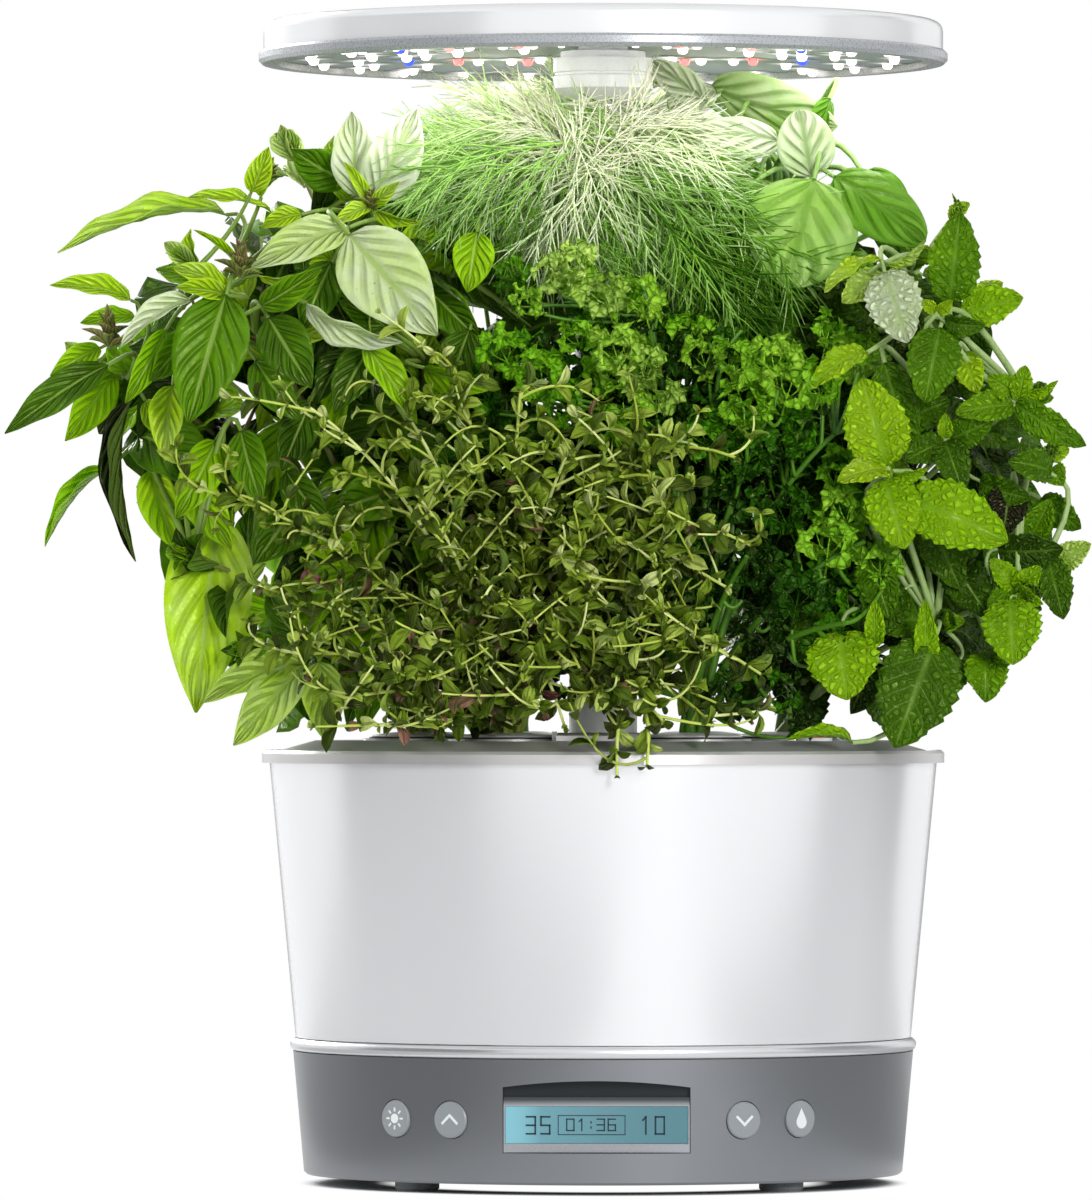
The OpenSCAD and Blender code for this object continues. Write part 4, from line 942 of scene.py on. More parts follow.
def leaf(name, rows, columns, swell=0.6, taper=0.8, fold=0.3, arch=0.15, lean=0.8, dome=0.0, quilt=0.0,
         ribs=6, slant=0.3, teeth=0, bite=0.12, wave=0.0, waves=2.5, twist=0.0, thick=0.012, seed=0):
    """A closed leaf shell. Its upper side faces +Z."""
    rng = np.random.default_rng(seed)
    v = np.linspace(0, 1, rows + 1)[:, None]
    u = np.linspace(-1, 1, columns + 1)[None, :]
    side = np.abs(u)
    half = np.maximum(blade(np.clip(v, 1e-4, 1 - 1e-4), swell, taper), 0.014)
    edge = np.ones_like(v * u)
    if teeth:
        saw = (v * teeth) % 1.0
        edge = 1 - bite * saw * side ** 4
    x = u * half * edge
    y = np.repeat(v, columns + 1, axis=1)
    arc = arch * np.sin(math.pi * v ** lean)
    z = arc + fold * np.abs(x) - dome * (2 * x) ** 2
    body = np.clip(half * 5, 0, 1)
    rib = (v - slant * side) * ribs
    z = z + quilt * (np.abs(np.sin(math.pi * rib)) - 0.6) * (1 - side ** 6) * body
    z = z + quilt * 0.5 * np.sin(math.pi * rib) * np.sin(7 * side) * body
    phase = rng.uniform(0, 6.3, 2)
    swing = math.tau * waves * v
    ripple = np.where(u > 0, np.sin(swing + phase[0]), np.sin(swing + phase[1]))
    z = z + wave * ripple * side ** 2 * body
    turn = twist * (v - 0.2)
    x = x * np.cos(turn) - (z - arc) * np.sin(turn)
    z = z + u * half * np.sin(turn)
    top = np.stack([x, y, z], axis=2).reshape(-1, 3)
    n, w = len(top), columns + 1
    verts = np.concatenate([top, top - [0, 0, thick]])
    faces = []
    for i in range(rows):
        for j in range(columns):
            a = i * w + j
            faces += [(a, a + 1, a + 1 + w, a + w), (n + a + w, n + a + 1 + w, n + a + 1, n + a)]
    faces += [(a, n + a, n + b, b) for a, b in grid_rim(rows, columns)]
    made = unit_shape(name, verts.tolist(), faces, under=[0.0] * n + [1.0] * n)
    flat = np.stack([np.repeat((u + 1) / 2, rows + 1, axis=0).ravel(), y.ravel()], axis=1)
    flat = np.concatenate([flat, flat])
    layer = made.data.uv_layers.new(name="leaf")
    corners = np.zeros(len(made.data.loops), np.int32)
    made.data.loops.foreach_get("vertex_index", corners)
    layer.data.foreach_set("uv", flat[corners].ravel())
    return made


print("leaf maker ready, half width at 0.4:", round(float(blade(np.array(0.4), 0.6, 0.8)), 3))

# %% [markdown]
# ## What a leaf looks like
#
# Leaf green is never one colour, and here the colour also carries painted light and shade. Leaves low in
# the bush and inside it are painted nearly black-green, as painted shade, the middle ones are strong
# green, those with light behind them are painted lime, and those just under the lamp are painted almost
# white, as painted light. That is the tint, one number per leaf, with some tone that differs at random,
# and a colour ramp turns it into a colour. On top of it come a paler midrib, side veins and darker sunken
# bands beside them from the leaf's own UV map, the bands' darkness being painted shade in the creases, a
# blotchy drift from noise in object space, and a paler underside. The shader is gloss over matt, mixed
# with light that comes through from behind.

# %% The leaf finish


def leafy(name, steps, vein, ribs=6, slant=0.3, strength=0.5, rough=0.42, through=0.3, net=0.0,
          under=(150, 184, 84), crease_shade=0.5):
    """A leaf material. steps are (tint, colour), vein is the colour of the veins and crease_shade how dark
    the sunken bands beside them are painted, as painted shade."""
    made, tree, skin = blank(name)
    uv = add(tree, "ShaderNodeUVMap", uv_map="leaf").outputs[0]
    parts = add(tree, "ShaderNodeSeparateXYZ", {0: uv}).outputs
    side = maths(tree, "ABSOLUTE", maths(tree, "MULTIPLY_ADD", parts[0], 2.0, -1.0))
    place = here(tree)
    cloud, cells = noise(tree, place, 70.0, 4.0), noise(tree, place, 700.0, 3.0)
    drift = maths(tree, "MULTIPLY_ADD", cloud, 0.22, -0.11)
    green = ramped(tree, maths(tree, "ADD", number(tree, "tint"), drift), steps)
    rib = maths(tree, "MULTIPLY", maths(tree, "MULTIPLY_ADD", side, -slant, parts[1]), ribs)
    near = maths(tree, "ABSOLUTE", maths(tree, "SUBTRACT", maths(tree, "FRACT", rib), 0.5))
    lateral = maths(tree, "MULTIPLY", between(tree, near, 0.42, 0.5), between(tree, side, 0.95, 0.6))
    middle = between(tree, side, 0.10, 0.03)
    veins = maths(tree, "MAXIMUM", middle, maths(tree, "MULTIPLY", lateral, 0.4))
    sunken = maths(tree, "MULTIPLY", between(tree, near, 0.15, 0.5), between(tree, side, 1.05, 0.5))
    sunken = maths(tree, "MAXIMUM", sunken, between(tree, side, 0.24, 0.02))
    if net:
        web = add(tree, "ShaderNodeTexVoronoi", {"Vector": place, "Scale": 300.0},
                  feature="DISTANCE_TO_EDGE")
        sunken = maths(tree, "MAXIMUM", maths(tree, "MULTIPLY", sunken, 0.8),
                       maths(tree, "MULTIPLY", between(tree, web.outputs[0], 0.22, 0.0), net))
    # Painted shade: the sunken bands beside the veins are painted a darker green.
    shown = mixed(tree, maths(tree, "MULTIPLY", sunken, crease_shade), green,
                  mixed(tree, 1.0, green, (0.34, 0.46, 0.12, 1), "MULTIPLY"))
    shown = mixed(tree, maths(tree, "MULTIPLY", veins, strength), shown, tone(*vein))
    shown = mixed(tree, maths(tree, "MULTIPLY", between(tree, cells, 0.35, 0.7), 0.18), shown,
                  mixed(tree, 1.0, shown, (0.55, 0.62, 0.5, 1), "MULTIPLY"))
    shown = mixed(tree, number(tree, "under"), shown, mixed(tree, 0.42, shown, tone(*under)))
    height = maths(tree, "MULTIPLY_ADD", sunken, -1.0, maths(tree, "MULTIPLY", cells, 0.15))
    put(tree, skin, {"Base Color": shown, "Normal": relief(tree, height, 0.9, 0.0014),
                     "Roughness": between(tree, cells, 0.3, 0.7, rough - 0.08, rough + 0.12),
                     "Specular IOR Level": 0.4, "Specular Tint": (1.0, 1.0, 0.5, 1)})
    lime = mixed(tree, 0.35, shown, mixed(tree, 1.0, shown, (1.5, 1.5, 0.35, 1), "MULTIPLY"))
    glow = add(tree, "ShaderNodeBsdfTranslucent", {"Color": lime})
    both = add(tree, "ShaderNodeMixShader", {0: through, 1: skin.outputs[0], 2: glow.outputs[0]})
    out = [n for n in tree.nodes if n.type == "OUTPUT_MATERIAL"][0]
    tree.links.new(both.outputs[0], out.inputs["Surface"])
    return made


def stalk(name, steps, rough=0.5):
    """A stem material, coloured by tint."""
    made, tree, skin = blank(name)
    streaks = add(tree, "ShaderNodeMapping", {"Vector": here(tree), "Scale": (1, 1, 0.15)}).outputs[0]
    grain = noise(tree, streaks, 500.0, 3.0)
    drift = maths(tree, "MULTIPLY_ADD", grain, 0.3, -0.15)
    put(tree, skin, {"Base Color": ramped(tree, maths(tree, "ADD", number(tree, "tint"), drift), steps),
                     "Roughness": rough, "Normal": relief(tree, grain, 0.4, 0.0003)})
    return made


# From nearly black-green for painted shade to nearly white for painted light under the lamp.
GREENS = [(0.0, (34, 14, 28)), (0.07, (20, 36, 4)), (0.2, (50, 90, 4)), (0.4, (106, 162, 6)),
          (0.6, (170, 222, 12)), (0.76, (208, 242, 40)), (0.87, (224, 244, 160)), (1.0, (248, 253, 240))]
print("leaf colours from", GREENS[0][1], "to", GREENS[-1][1])

# %% [markdown]
# ## Where the stems run
#
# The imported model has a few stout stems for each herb, which other parts must miss. The real stems
# follow the same lines: from the pod up, bending out to a tip that is given here in millimetres from
# the mast, and above the deck. At the foot they stand round the pod, each turned on from the last by
# 2.4 radians, which is about the golden angle by which plants space what they grow.

# %% Stem lines
DECK = 175.9
SOIL = DECK + 1.2
GOLDEN = 2.4
TIPS = {
    "mint": [(122, -40, 186), (138, -10, 206), (168, -52, 134), (174, -6, 112), (164, -72, 56),
             (132, -62, 46), (116, 20, 150), (172, 34, 66), (150, 62, 126)],
    "basil": [(76, 58, 238), (104, 74, 214), (58, 88, 244), (92, 100, 176), (60, 108, 196)],
    "dill": [(-60, 60, 236), (-30, 60, 250), (-76, 90, 200), (-20, 88, 244), (-40, 110, 196),
             (-4, 106, 220), (-84, 60, 180), (30, 2, 222)],
    "thai_basil": [(-200, -14, 150), (-160, -40, 186), (-104, -26, 224), (-124, 34, 232), (-70, -32, 150),
                   (-160, -60, 72), (-134, -64, 36), (-160, 66, 150), (-112, 56, 196)],
    "thyme": [(-144, -102, 96), (-130, -102, 60), (-112, -100, 130), (-84, -84, 140), (-70, -124, 96),
              (-56, -96, 146), (-44, -128, 56), (-30, -100, 136), (-12, -112, 110), (-30, -138, 14),
              (-100, -130, 12), (26, -124, 84)],
    "parsley": [(16, -64, 182), (34, -66, 164), (24, -70, 130), (48, -78, 148), (66, -86, 126),
                (92, -78, 120), (104, -84, 78), (58, -96, 72), (96, -100, 46)],
}


def bend(foot, knee, tip, count=16):
    """Points of a curve from foot to tip that leaves towards the knee."""
    t = np.linspace(0, 1, count)[:, None]
    return (1 - t) ** 2 * np.array(foot) + 2 * t * (1 - t) * np.array(knee) + t ** 2 * np.array(tip)


def stem_lines(herb):
    """The main stems of a herb, in metres."""
    foot = PODS[HERBS.index(herb)]
    lines = []
    for i, (x, y, rise) in enumerate(TIPS[herb]):
        angle = i * GOLDEN
        start = (foot[0] + 3.4 * math.cos(angle), foot[1] + 3.4 * math.sin(angle), SOIL)
        knee = (foot[0] + 0.3 * (x - foot[0]), foot[1] + 0.3 * (y - foot[1]), DECK + max(0.72 * rise, 40))
        lines.append(bend(start, knee, (x, y, DECK + rise)) * MM)
    return lines


STEMS = {herb: stem_lines(herb) for herb in HERBS}
print("main stems:", {herb: len(lines) for herb, lines in STEMS.items()})

# %% [markdown]
# A few questions come up again and again while planting: which place and which direction lie a given
# way down a stem, which stem a leaf can hang on, and where a point is seen in the front view.

# %% Along a stem


def along(line, back):
    """Place and upward direction on a stem, back metres from its tip."""
    steps = np.linalg.norm(np.diff(line, axis=0), axis=1)
    run = np.concatenate([[0], np.cumsum(steps)])
    at = max(run[-1] - back, 0.002)
    i = min(int(np.searchsorted(run, at)), len(line) - 1)
    i = max(i, 1)
    share = (at - run[i - 1]) / steps[i - 1]
    return Vector(line[i - 1] + (line[i] - line[i - 1]) * share), Vector(line[i] - line[i - 1]).normalized()


def length_of(line):
    """How long a line is, in metres."""
    return float(np.linalg.norm(np.diff(line, axis=0), axis=1).sum())


def round_stem(up):
    """Two directions that stand square to a stem and to each other."""
    across = up.cross(Vector((0, 0, 1)))
    across = across.normalized() if across.length > 0.05 else Vector((1, 0, 0))
    return across, up.cross(across)


def joint_on(every, point, drop):
    """Of every stem's points, the one nearest to the place drop metres under a point."""
    gap = np.linalg.norm(every - np.array(point) + [0, 0, drop], axis=1)
    return Vector(every[int(gap.argmin())])


def inside(right, up, outline):
    """True where a place of the front view lies within an outline."""
    within, j = False, len(outline) - 1
    for i, (x, y) in enumerate(outline):
        px, py = outline[j]
        if (y > up) != (py > up) and right < (px - x) * (up - y) / (py - y) + x:
            within = not within
        j = i
    return within


def front_of(point):
    """Where a point is seen in the front view, in millimetres."""
    ray = Vector(point) - EYE
    hit = EYE + ray * (-EYE.y / ray.y)
    return hit.x / MM, hit.z / MM


print("the mast's foot is seen at", [round(v, 1) for v in front_of((0, 0, DECK * MM))])

# %% [markdown]
# Leaves sit in pairs along the stems of the mint family, each pair crossed to the one below. The young
# ones at the tip are small, close together and upright, and further down they grow, part and hang. A
# small crown of the youngest closes each tip.

# %% Crossed pairs


def pairs(lines, rng, gaps, wide, long, picks, tint_and_light_at, outline, rise=(60, -35), stalk_len=0.12, keep=1.0,
          reach=400, crown=4):
    """Crossed leaf pairs down each stem. Returns leaf rows and stalk lines."""
    rows, stalks = [], []
    for line in lines:
        total, back, turn = length_of(line), 0.0, rng.uniform(0, 1.5)
        for k in range(40):
            back += gaps[min(k, len(gaps) - 1)] * MM * rng.uniform(0.85, 1.15)
            if back > min(total - 0.03, reach * MM):
                break
            share = min(1.0, 0.30 + 0.17 * k)
            place, up = along(line, back)
            across, other = round_stem(up)
            turn += math.pi / 2 + rng.uniform(-0.25, 0.25)
            grade = min(1.0, k / 5)
            for half in (0, math.pi):
                if rng.random() > keep:
                    continue
                out = across * math.cos(turn + half) + other * math.sin(turn + half)
                pitch = math.radians(rise[0] + (rise[1] - rise[0]) * grade + rng.uniform(-12, 12))
                aim = out * math.cos(pitch) + up * math.sin(pitch)
                aim.z -= 0.25 * grade
                aim.normalize()
                face = (up * math.cos(pitch) - out * math.sin(pitch) + Vector((0, -0.35, 0.2))).normalized()
                size = share * rng.uniform(0.85, 1.12)
                start = place + aim * long * MM * size * stalk_len
                tip = start + aim * long * MM * size
                if not (inside(*front_of(tip), outline) and inside(*front_of(start), outline)):
                    continue
                # The tint of each leaf also paints its light and shade.
                rows.append((start, aim, face, (wide * size * MM, long * size * MM, long * size * MM),
                             rng.choice(picks), tint_and_light_at(start, rng)))
                stalks.append((bend(place, place + (start - place) * 0.5 + Vector((0, 0, 0.001)), start, 4),
                               [0.0009, 0.0007, 0.0006, 0.0006], 0.55))
        place, up = along(line, 0.0)
        for k in range(crown):
            out = level(k * GOLDEN + rng.uniform(0, 1))
            aim = (up + out * rng.uniform(0.25, 0.7)).normalized()
            size = rng.uniform(0.2, 0.34)
            rows.append((place, aim, (out * -1 + up * 0.3).normalized(),
                         (wide * size * MM, long * size * MM, long * size * MM), rng.choice(picks),
                         min(0.85, tint_and_light_at(place, rng) + 0.12)))
    return rows, stalks


print("a crossed pair every quarter turn")

# %% [markdown]
# The leaves that stand out in the bush are placed one by one in the front view, from base to tip, each
# with the depth of both ends, its width, the roll about its midrib, its tint and its shape. The tint also
# paints the leaf's light and shade. Each gets a stalk to the nearest stem, so that nothing hangs in the air.

# %% Leaves one by one
FORWARD = Vector((0, -1, 0))


def placed_leaves(table, lines):
    """Leaves put one by one: (base, tip, depths, width, roll, tint, shape) in front-view millimetres."""
    rows, stalks = [], []
    every = np.concatenate(lines)
    for u0, v0, u1, v1, y0, y1, width, roll, tint, pick in table:
        base, tip = seen(u0, v0, y0), seen(u1, v1, y1)
        aim = tip - base
        long = aim.length
        aim.normalize()
        face = FORWARD - aim * aim.dot(FORWARD)
        if face.length < 1e-3:
            face = Vector((0, 0, 1))
        face = Matrix.Rotation(math.radians(roll), 3, aim) @ face.normalized()
        rows.append((base, aim, face, (width * MM, long, (long + width * MM) / 2), pick, tint))
        joint = joint_on(every, base, 0.012)
        reach = (base - joint).length
        if reach > 0.002:
            knee = base - aim * reach * 0.45
            wide = min(0.0013, 0.0006 + reach * 0.012)
            stalks.append((bend(joint, knee, base, 8), np.linspace(wide * 1.2, wide * 0.7, 8), 0.55))
    return rows, stalks


print("single leaves face", FORWARD[:], "before their roll")

# %% [markdown]
# Behind the leaves that are seen one by one the bush is dense and in shade. Loose leaves between two
# corners of the front view fill it, with low tints that paint them dark as painted shade, apart from the
# space that the fill lid, the float and the pods need when they move.

# %% Leaves that fill the inside
LID, FLOAT = (0, -92, 30, 218), (84, -48, 25, 206)  # middle, radius and top of an upright column
FREE = [LID, FLOAT] + [(x, y, 31, 224) for x, y in PODS]


def leaves_room(point, columns):
    """Whether a point keeps out of the upright columns that the lid, the float and lifted pods need."""
    x, y, z = point / MM
    return all(z > top or math.hypot(x - cx, y - cy) > radius for cx, cy, radius, top in columns)


def shade(rng, count, corner, far_corner, depths, size, tints, picks, lines, outline):
    """Leaves that fill the inside of a bush between two corners of the front view; their low tints paint its
    shade.
    """
    rows, stalks = [], []
    every = np.concatenate(lines)
    margins = ((-10, 0), (10, 0), (0, 10), (0, -10))
    while len(rows) < count:
        u, v = rng.uniform(corner[0], far_corner[0]), rng.uniform(corner[1], far_corner[1])
        place = seen(u, v, rng.uniform(*depths))
        long = size * MM * rng.uniform(0.8, 1.2)
        aim = Vector((rng.uniform(-1, 1), rng.uniform(-0.6, 0.3), rng.uniform(-1, 0.35))).normalized()
        tip = place + aim * long
        ends = ((u, v), front_of(tip))
        if not all(inside(a + i, b + j, outline) for a, b in ends for i, j in margins):
            continue
        if not (leaves_room(place, FREE) and leaves_room(tip, FREE)):
            continue
        face = Vector((rng.uniform(-0.7, 0.7), -1, rng.uniform(-0.2, 0.9))).normalized()
        rows.append((place, aim, face, (long * 0.6, long, long), rng.choice(picks), rng.uniform(*tints)))
        joint = joint_on(every, place, 0.012)
        if (place - joint).length > 0.002:
            stalks.append((bend(joint, (joint + place) * 0.5 + Vector((0, 0, 0.004)), place, 5),
                           np.linspace(0.0010, 0.0006, 5), 0.35))
    return rows, stalks


print("columns kept free:", len(FREE))

# %% [markdown]
# Every piece of a herb rides on the body that its pod is on. When the hood comes down the real plant is
# bent aside and ends up shorter.

# %% Planting


def planted(made, herb):
    """A finished plant piece rides on its pod's body and stands for the herb's solid."""
    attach(made, BODIES[HERBS.index(herb)])
    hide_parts(f"{herb}_plant")
    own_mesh(made)
    print(made.name, "triangles:", triangles(made))


def stems(herb, thick, thin, tint, stalks, material):
    """Plants a herb's stems, which thin out to their tips, with the stalks of its leaves."""
    lines = [(line, np.linspace(thick, thin, len(line)), tint) for line in STEMS[herb]]
    planted(rods(f"{herb}_stems", lines + stalks, material), herb)


print("herbs to plant:", HERBS)

# %% [markdown]
# ## The outline of the bush
#
# Seeded growth fills the middle of a bush well, but its edge is what the eye reads. So one outline of
# the whole bush, in front-view millimetres, keeps the filling leaves inside, and the leaves that make
# the edge are the ones placed one by one.

# %% The outline
BUSH = [
    (-133, 173), (-146, 174), (-158, 190), (-163, 187), (-176, 216), (-179, 244), (-186, 245),
    (-194, 256), (-198, 272), (-222, 253), (-216, 274), (-210, 283), (-237, 298), (-216, 317),
    (-203, 331), (-209, 342), (-220, 357), (-212, 362), (-192, 357), (-176, 366), (-216, 370),
    (-196, 384), (-166, 395), (-149, 395), (-146, 409), (-133, 412), (-124, 415), (-116, 417),
    (-104, 415), (-101, 423), (-87, 429), (-73, 429), (-65, 438), (-41, 438), (-17, 444), (3, 446),
    (19, 446), (39, 446), (54, 449), (74, 446), (93, 431), (92, 417), (98, 405), (114, 399), (124, 385),
    (128, 375), (136, 382), (142, 386), (148, 373), (148, 357), (162, 357), (167, 351), (152, 339),
    (149, 319), (154, 322), (165, 328), (176, 320), (182, 317), (180, 309), (193, 295), (185, 291),
    (182, 276), (182, 264), (194, 254), (193, 242), (182, 224), (175, 230), (175, 212), (163, 206),
    (160, 193), (152, 191), (143, 192), (140, 178), (118, 172)]
print("outline points:", len(BUSH))

# %% [markdown]
# ## Thai basil
#
# The big bush on the left: smooth pointed leaves with curved veins, grey-green, painted dark in front and
# low down as painted shade, painted lime where light comes through from behind and pale near the lamp as
# painted light, and purple-brown flower buds at the tips. Four leaf shapes cover it, from flat and wide to
# narrow and folded.

# %% Thai basil leaves
THAI_LEAVES = [
    (-150, 385, -217, 370, -10, -34, 11.9, 55, 0.8, 1), (-132, 386, -165, 392, -30, -44, 5.6, 65, 0.76, 2),
    (-140, 394, -133, 412, -40, -46, 10.3, 10, 0.76, 0),
    (-136, 392, -131, 408, -30, -36, 7.2, -20, 0.74, 3),
    (-188, 351, -220, 357, -20, -34, 10.3, 35, 0.76, 1), (-186, 344, -208, 342, -30, -40, 8, 30, 0.64, 2),
    (-197, 325, -238, 298, -58, -70, 15.1, 20, 0.3, 0), (-150, 353, -165, 302, -84, -94, 29.4, 0, 0.38, 0),
    (-171, 317, -174, 287, -60, -70, 14.3, 10, 0.76, 1),
    (-195, 322, -214, 295, -10, -20, 15.9, -10, 0.67, 2),
    (-187, 312, -186, 247, -50, -66, 7.2, 40, 0.07, 3), (-164, 351, -192, 332, -80, -92, 10.3, 25, 0.99, 3),
    (-93, 388, -103, 406, -60, -64, 5.6, 20, 0.76, 1), (-92, 389, -81, 398, -62, -72, 6.4, 10, 0.76, 2),
    (-93, 388, -108, 380, -62, -74, 7.2, 20, 0.76, 1), (-91, 388, -73, 382, -62, -70, 6.4, 30, 0.76, 3),
    (-97, 392, -100, 426, -40, -40, 18.3, -10, 0.97, 0), (-92, 391, -74, 427, -46, -50, 22.3, 10, 1, 1),
    (-101, 398, -124, 411, -30, -34, 17.5, -15, 0.36, 2),
    (-101, 380, -140, 364, -74, -86, 18.3, 25, 0.88, 0), (-101, 377, -66, 337, -82, -94, 33.4, 0, 0.92, 0),
    (-118, 350, -80, 334, -80, -92, 13.5, 45, 0.95, 1), (-95, 333, -74, 302, -76, -86, 13.5, -20, 0.61, 2),
    (-92, 333, -107, 306, -70, -80, 16.7, 10, 0.26, 0), (-101, 330, -113, 311, -64, -70, 14.3, 20, 0.18, 1),
    (-50, 378, -54, 354, -50, -56, 16.7, 0, 0.58, 2), (-71, 324, -42, 317, -66, -76, 11.1, 20, 0.55, 3),
    (-153, 264, -162, 187, -40, -58, 35, 0, 0.78, 0), (-120, 207, -159, 191, -60, -76, 15.9, 25, 0.8, 1),
    (-120, 204, -147, 174, -64, -80, 18.3, 10, 0.84, 2),
    (-113, 207, -110, 175, -56, -66, 17.5, -10, 0.8, 0), (-196, 284, -222, 253, -30, -40, 7.2, 40, 0.61, 3),
    (-149, 355, -171, 364, -76, -84, 10.3, 35, 0.76, 2), (-150, 353, -170, 356, -78, -88, 8.7, 10, 0.76, 3),
    (-137, 361, -112, 363, -70, -80, 6.4, 50, 0.76, 1), (-107, 366, -128, 376, -60, -66, 11.1, 10, 0.76, 0),
    (-136, 349, -112, 364, -72, -84, 11.9, 15, 0.44, 1), (-133, 344, -116, 316, -70, -80, 20.7, 0, 0.28, 0),
    (-200, 332, -220, 321, -40, -50, 10.3, 10, 0.65, 2),
    (-174, 339, -190, 310, -66, -76, 11.1, -10, 0.57, 1),
    (-182, 311, -171, 295, -50, -56, 10.3, 10, 0.71, 2), (-108, 366, -120, 339, -64, -72, 17.5, 0, 0.32, 2),
    (-144, 299, -136, 270, -62, -72, 15.9, 10, 0.4, 0),
    (-154, 295, -170, 264, -54, -64, 16.7, -10, 0.57, 1),
    (-164, 283, -148, 252, -46, -56, 15.9, 15, 0.65, 2), (-180, 283, -170, 252, -30, -40, 15.9, 0, 0.71, 3),
    (-138, 327, -120, 303, -66, -76, 15.9, 10, 0.36, 1), (-116, 311, -128, 283, -58, -66, 15.9, 0, 0.24, 2),
    (-146, 366, -163, 379, -64, -70, 4, 20, 0.74, 3), (-73, 387, -53, 399, -20, -20, 10.3, 0, 0.72, 1),
    (-85, 339, -105, 351, -60, -66, 11.9, 20, 0.4, 2), (-78, 303, -61, 279, -60, -68, 14.3, 0, 0.26, 0),
    (-126, 283, -108, 260, -50, -58, 14.3, 10, 0.3, 1), (-158, 232, -138, 200, -10, -20, 19.9, 0, 0.76, 1),
    (-162, 339, -180, 319, -70, -78, 13.5, 0, 0.44, 2), (-69, 355, -49, 335, -40, -46, 15.9, 0, 0.34, 3),
    (-53, 339, -63, 311, -50, -58, 15.9, 10, 0.28, 0), (-83, 367, -65, 385, -40, -40, 11.9, 10, 0.7, 2),
    (-120, 385, -136, 380, -56, -60, 8.7, 20, 0.76, 1), (-112, 373, -101, 351, -50, -60, 15.9, 0, 0.4, 0)]
thai_shapes = [
    leaf("shape_00", 20, 10, swell=0.62, taper=0.95, fold=0.14, arch=0.10, quilt=0.018, wave=0.02),
    leaf("shape_01", 20, 10, swell=0.60, taper=0.9, fold=0.3, arch=0.16, quilt=0.018, wave=0.03, seed=2),
    leaf("shape_02", 20, 10, swell=0.66, taper=0.9, fold=0.2, arch=0.13, quilt=0.02, wave=0.035, twist=0.4,
         seed=3),
    leaf("shape_03", 20, 10, swell=0.7, taper=0.85, fold=0.55, arch=0.2, quilt=0.012, wave=0.03, twist=-0.3,
         seed=4)]


def thai_tint_and_light(place, rng):
    """Painted shade in front and low down, painted lime at the edge and behind for light from behind,
    painted light near the lamp, and some tone at random.
    """
    high = (place.z / MM - 200) / 210
    behind = (place.y / MM + 60) / 140
    return min(1.0, max(0.1, 0.27 + 0.46 * high + 0.22 * behind + rng.uniform(-0.16, 0.2)))


rng = random.Random(11)
rows, stalks = placed_leaves(THAI_LEAVES, STEMS["thai_basil"])
more, extra = pairs(STEMS["thai_basil"], rng, [3, 9, 15, 20, 24, 28], 25, 50, [0, 1, 2, 3], thai_tint_and_light, BUSH,
                    keep=0.85)
thai_green = leafy("thai_basil_leaf", GREENS, (176, 206, 100), slant=0.42, strength=0.6, rough=0.32,
                   crease_shade=0.3)
thai_stem = stalk("thai_basil_stem", [(0.0, (70, 30, 44)), (0.3, (112, 70, 50)), (0.6, (130, 168, 64)),
                                      (1.0, (176, 204, 110))])
planted(scatter("thai_basil_leaves", rows + more, thai_shapes, thai_green), "thai_basil")

# %% The inside of the Thai basil
small_shapes = [leaf(f"shape_{i:02d}", 8, 4, swell=0.6, taper=0.85, fold=0.2 + 0.2 * i, arch=0.15, wave=0.05,
                     seed=i) for i in range(3)]
rows, stalks_in = shade(rng, 75, (-188, 188), (-60, 384), (-30, 50), 46, (0.08, 0.34), [0, 1, 2],
                        STEMS["thai_basil"], BUSH)
for count, corner, far_corner in ((30, (-78, 240), (4, 344)), (36, (-120, 192), (34, 300))):
    more, extra_in = shade(rng, count, corner, far_corner, (-24, 30), 40, (0.10, 0.46), [0, 1, 2],
                           STEMS["thai_basil"], BUSH)
    rows, stalks_in = rows + more, stalks_in + extra_in
planted(scatter("thai_basil_inner", rows, small_shapes, thai_green), "thai_basil")
stems("thai_basil", 0.0019, 0.0010, 0.45, stalks + extra + stalks_in, thai_stem)

# %% Thai basil buds


def buds(name, heads, herb, material, count=16):
    """Spiky flower buds: pointed bracts all round a short spike. A head is (place, size)."""
    rng = random.Random(5)
    rows = []
    for place, size in heads:
        for i in range(count):
            out, lift = level(i * GOLDEN), 0.2 + 0.8 * i / count
            aim = (out * (1.1 - lift * 0.9) + Vector((0, 0, lift * 1.1))).normalized()
            rows.append((place + Vector((0, 0, size * 0.55 * lift)), aim, Vector((0, 0, 1)) - aim * aim.z,
                         (size * 0.34, size * rng.uniform(0.6, 0.95), size * 0.6), 0, rng.random()))
    bract = leaf("shape_00", 4, 2, swell=0.5, taper=0.8, fold=0.6, arch=0.12, thick=0.04)
    planted(scatter(name, rows, [bract], material), herb)


BUD_TINTS = [(0.0, (74, 38, 40)), (0.45, (132, 82, 66)), (0.8, (176, 130, 104)), (1.0, (150, 160, 80))]
bud_skin = leafy("thai_basil_bud", BUD_TINTS, (90, 50, 50), strength=0.3, rough=0.6, through=0.15)
heads = [(seen(-196.8, 330.5, -62), 0.013), (seen(-144.3, 358.0, -84), 0.013),
         (seen(-92.6, 386.0, -64), 0.008), (seen(-133, 398, -40), 0.007)]
buds("thai_basil_buds", heads, "thai_basil", bud_skin)

# %% [markdown]
# ## Mint
#
# Mint leaves are toothed and quilted: the skin swells between a net of sunken veins. The teeth come
# from the outline and the quilting from the grid, so this leaf needs the finest grid along its length.
# The finish adds a finer net of veins on top.

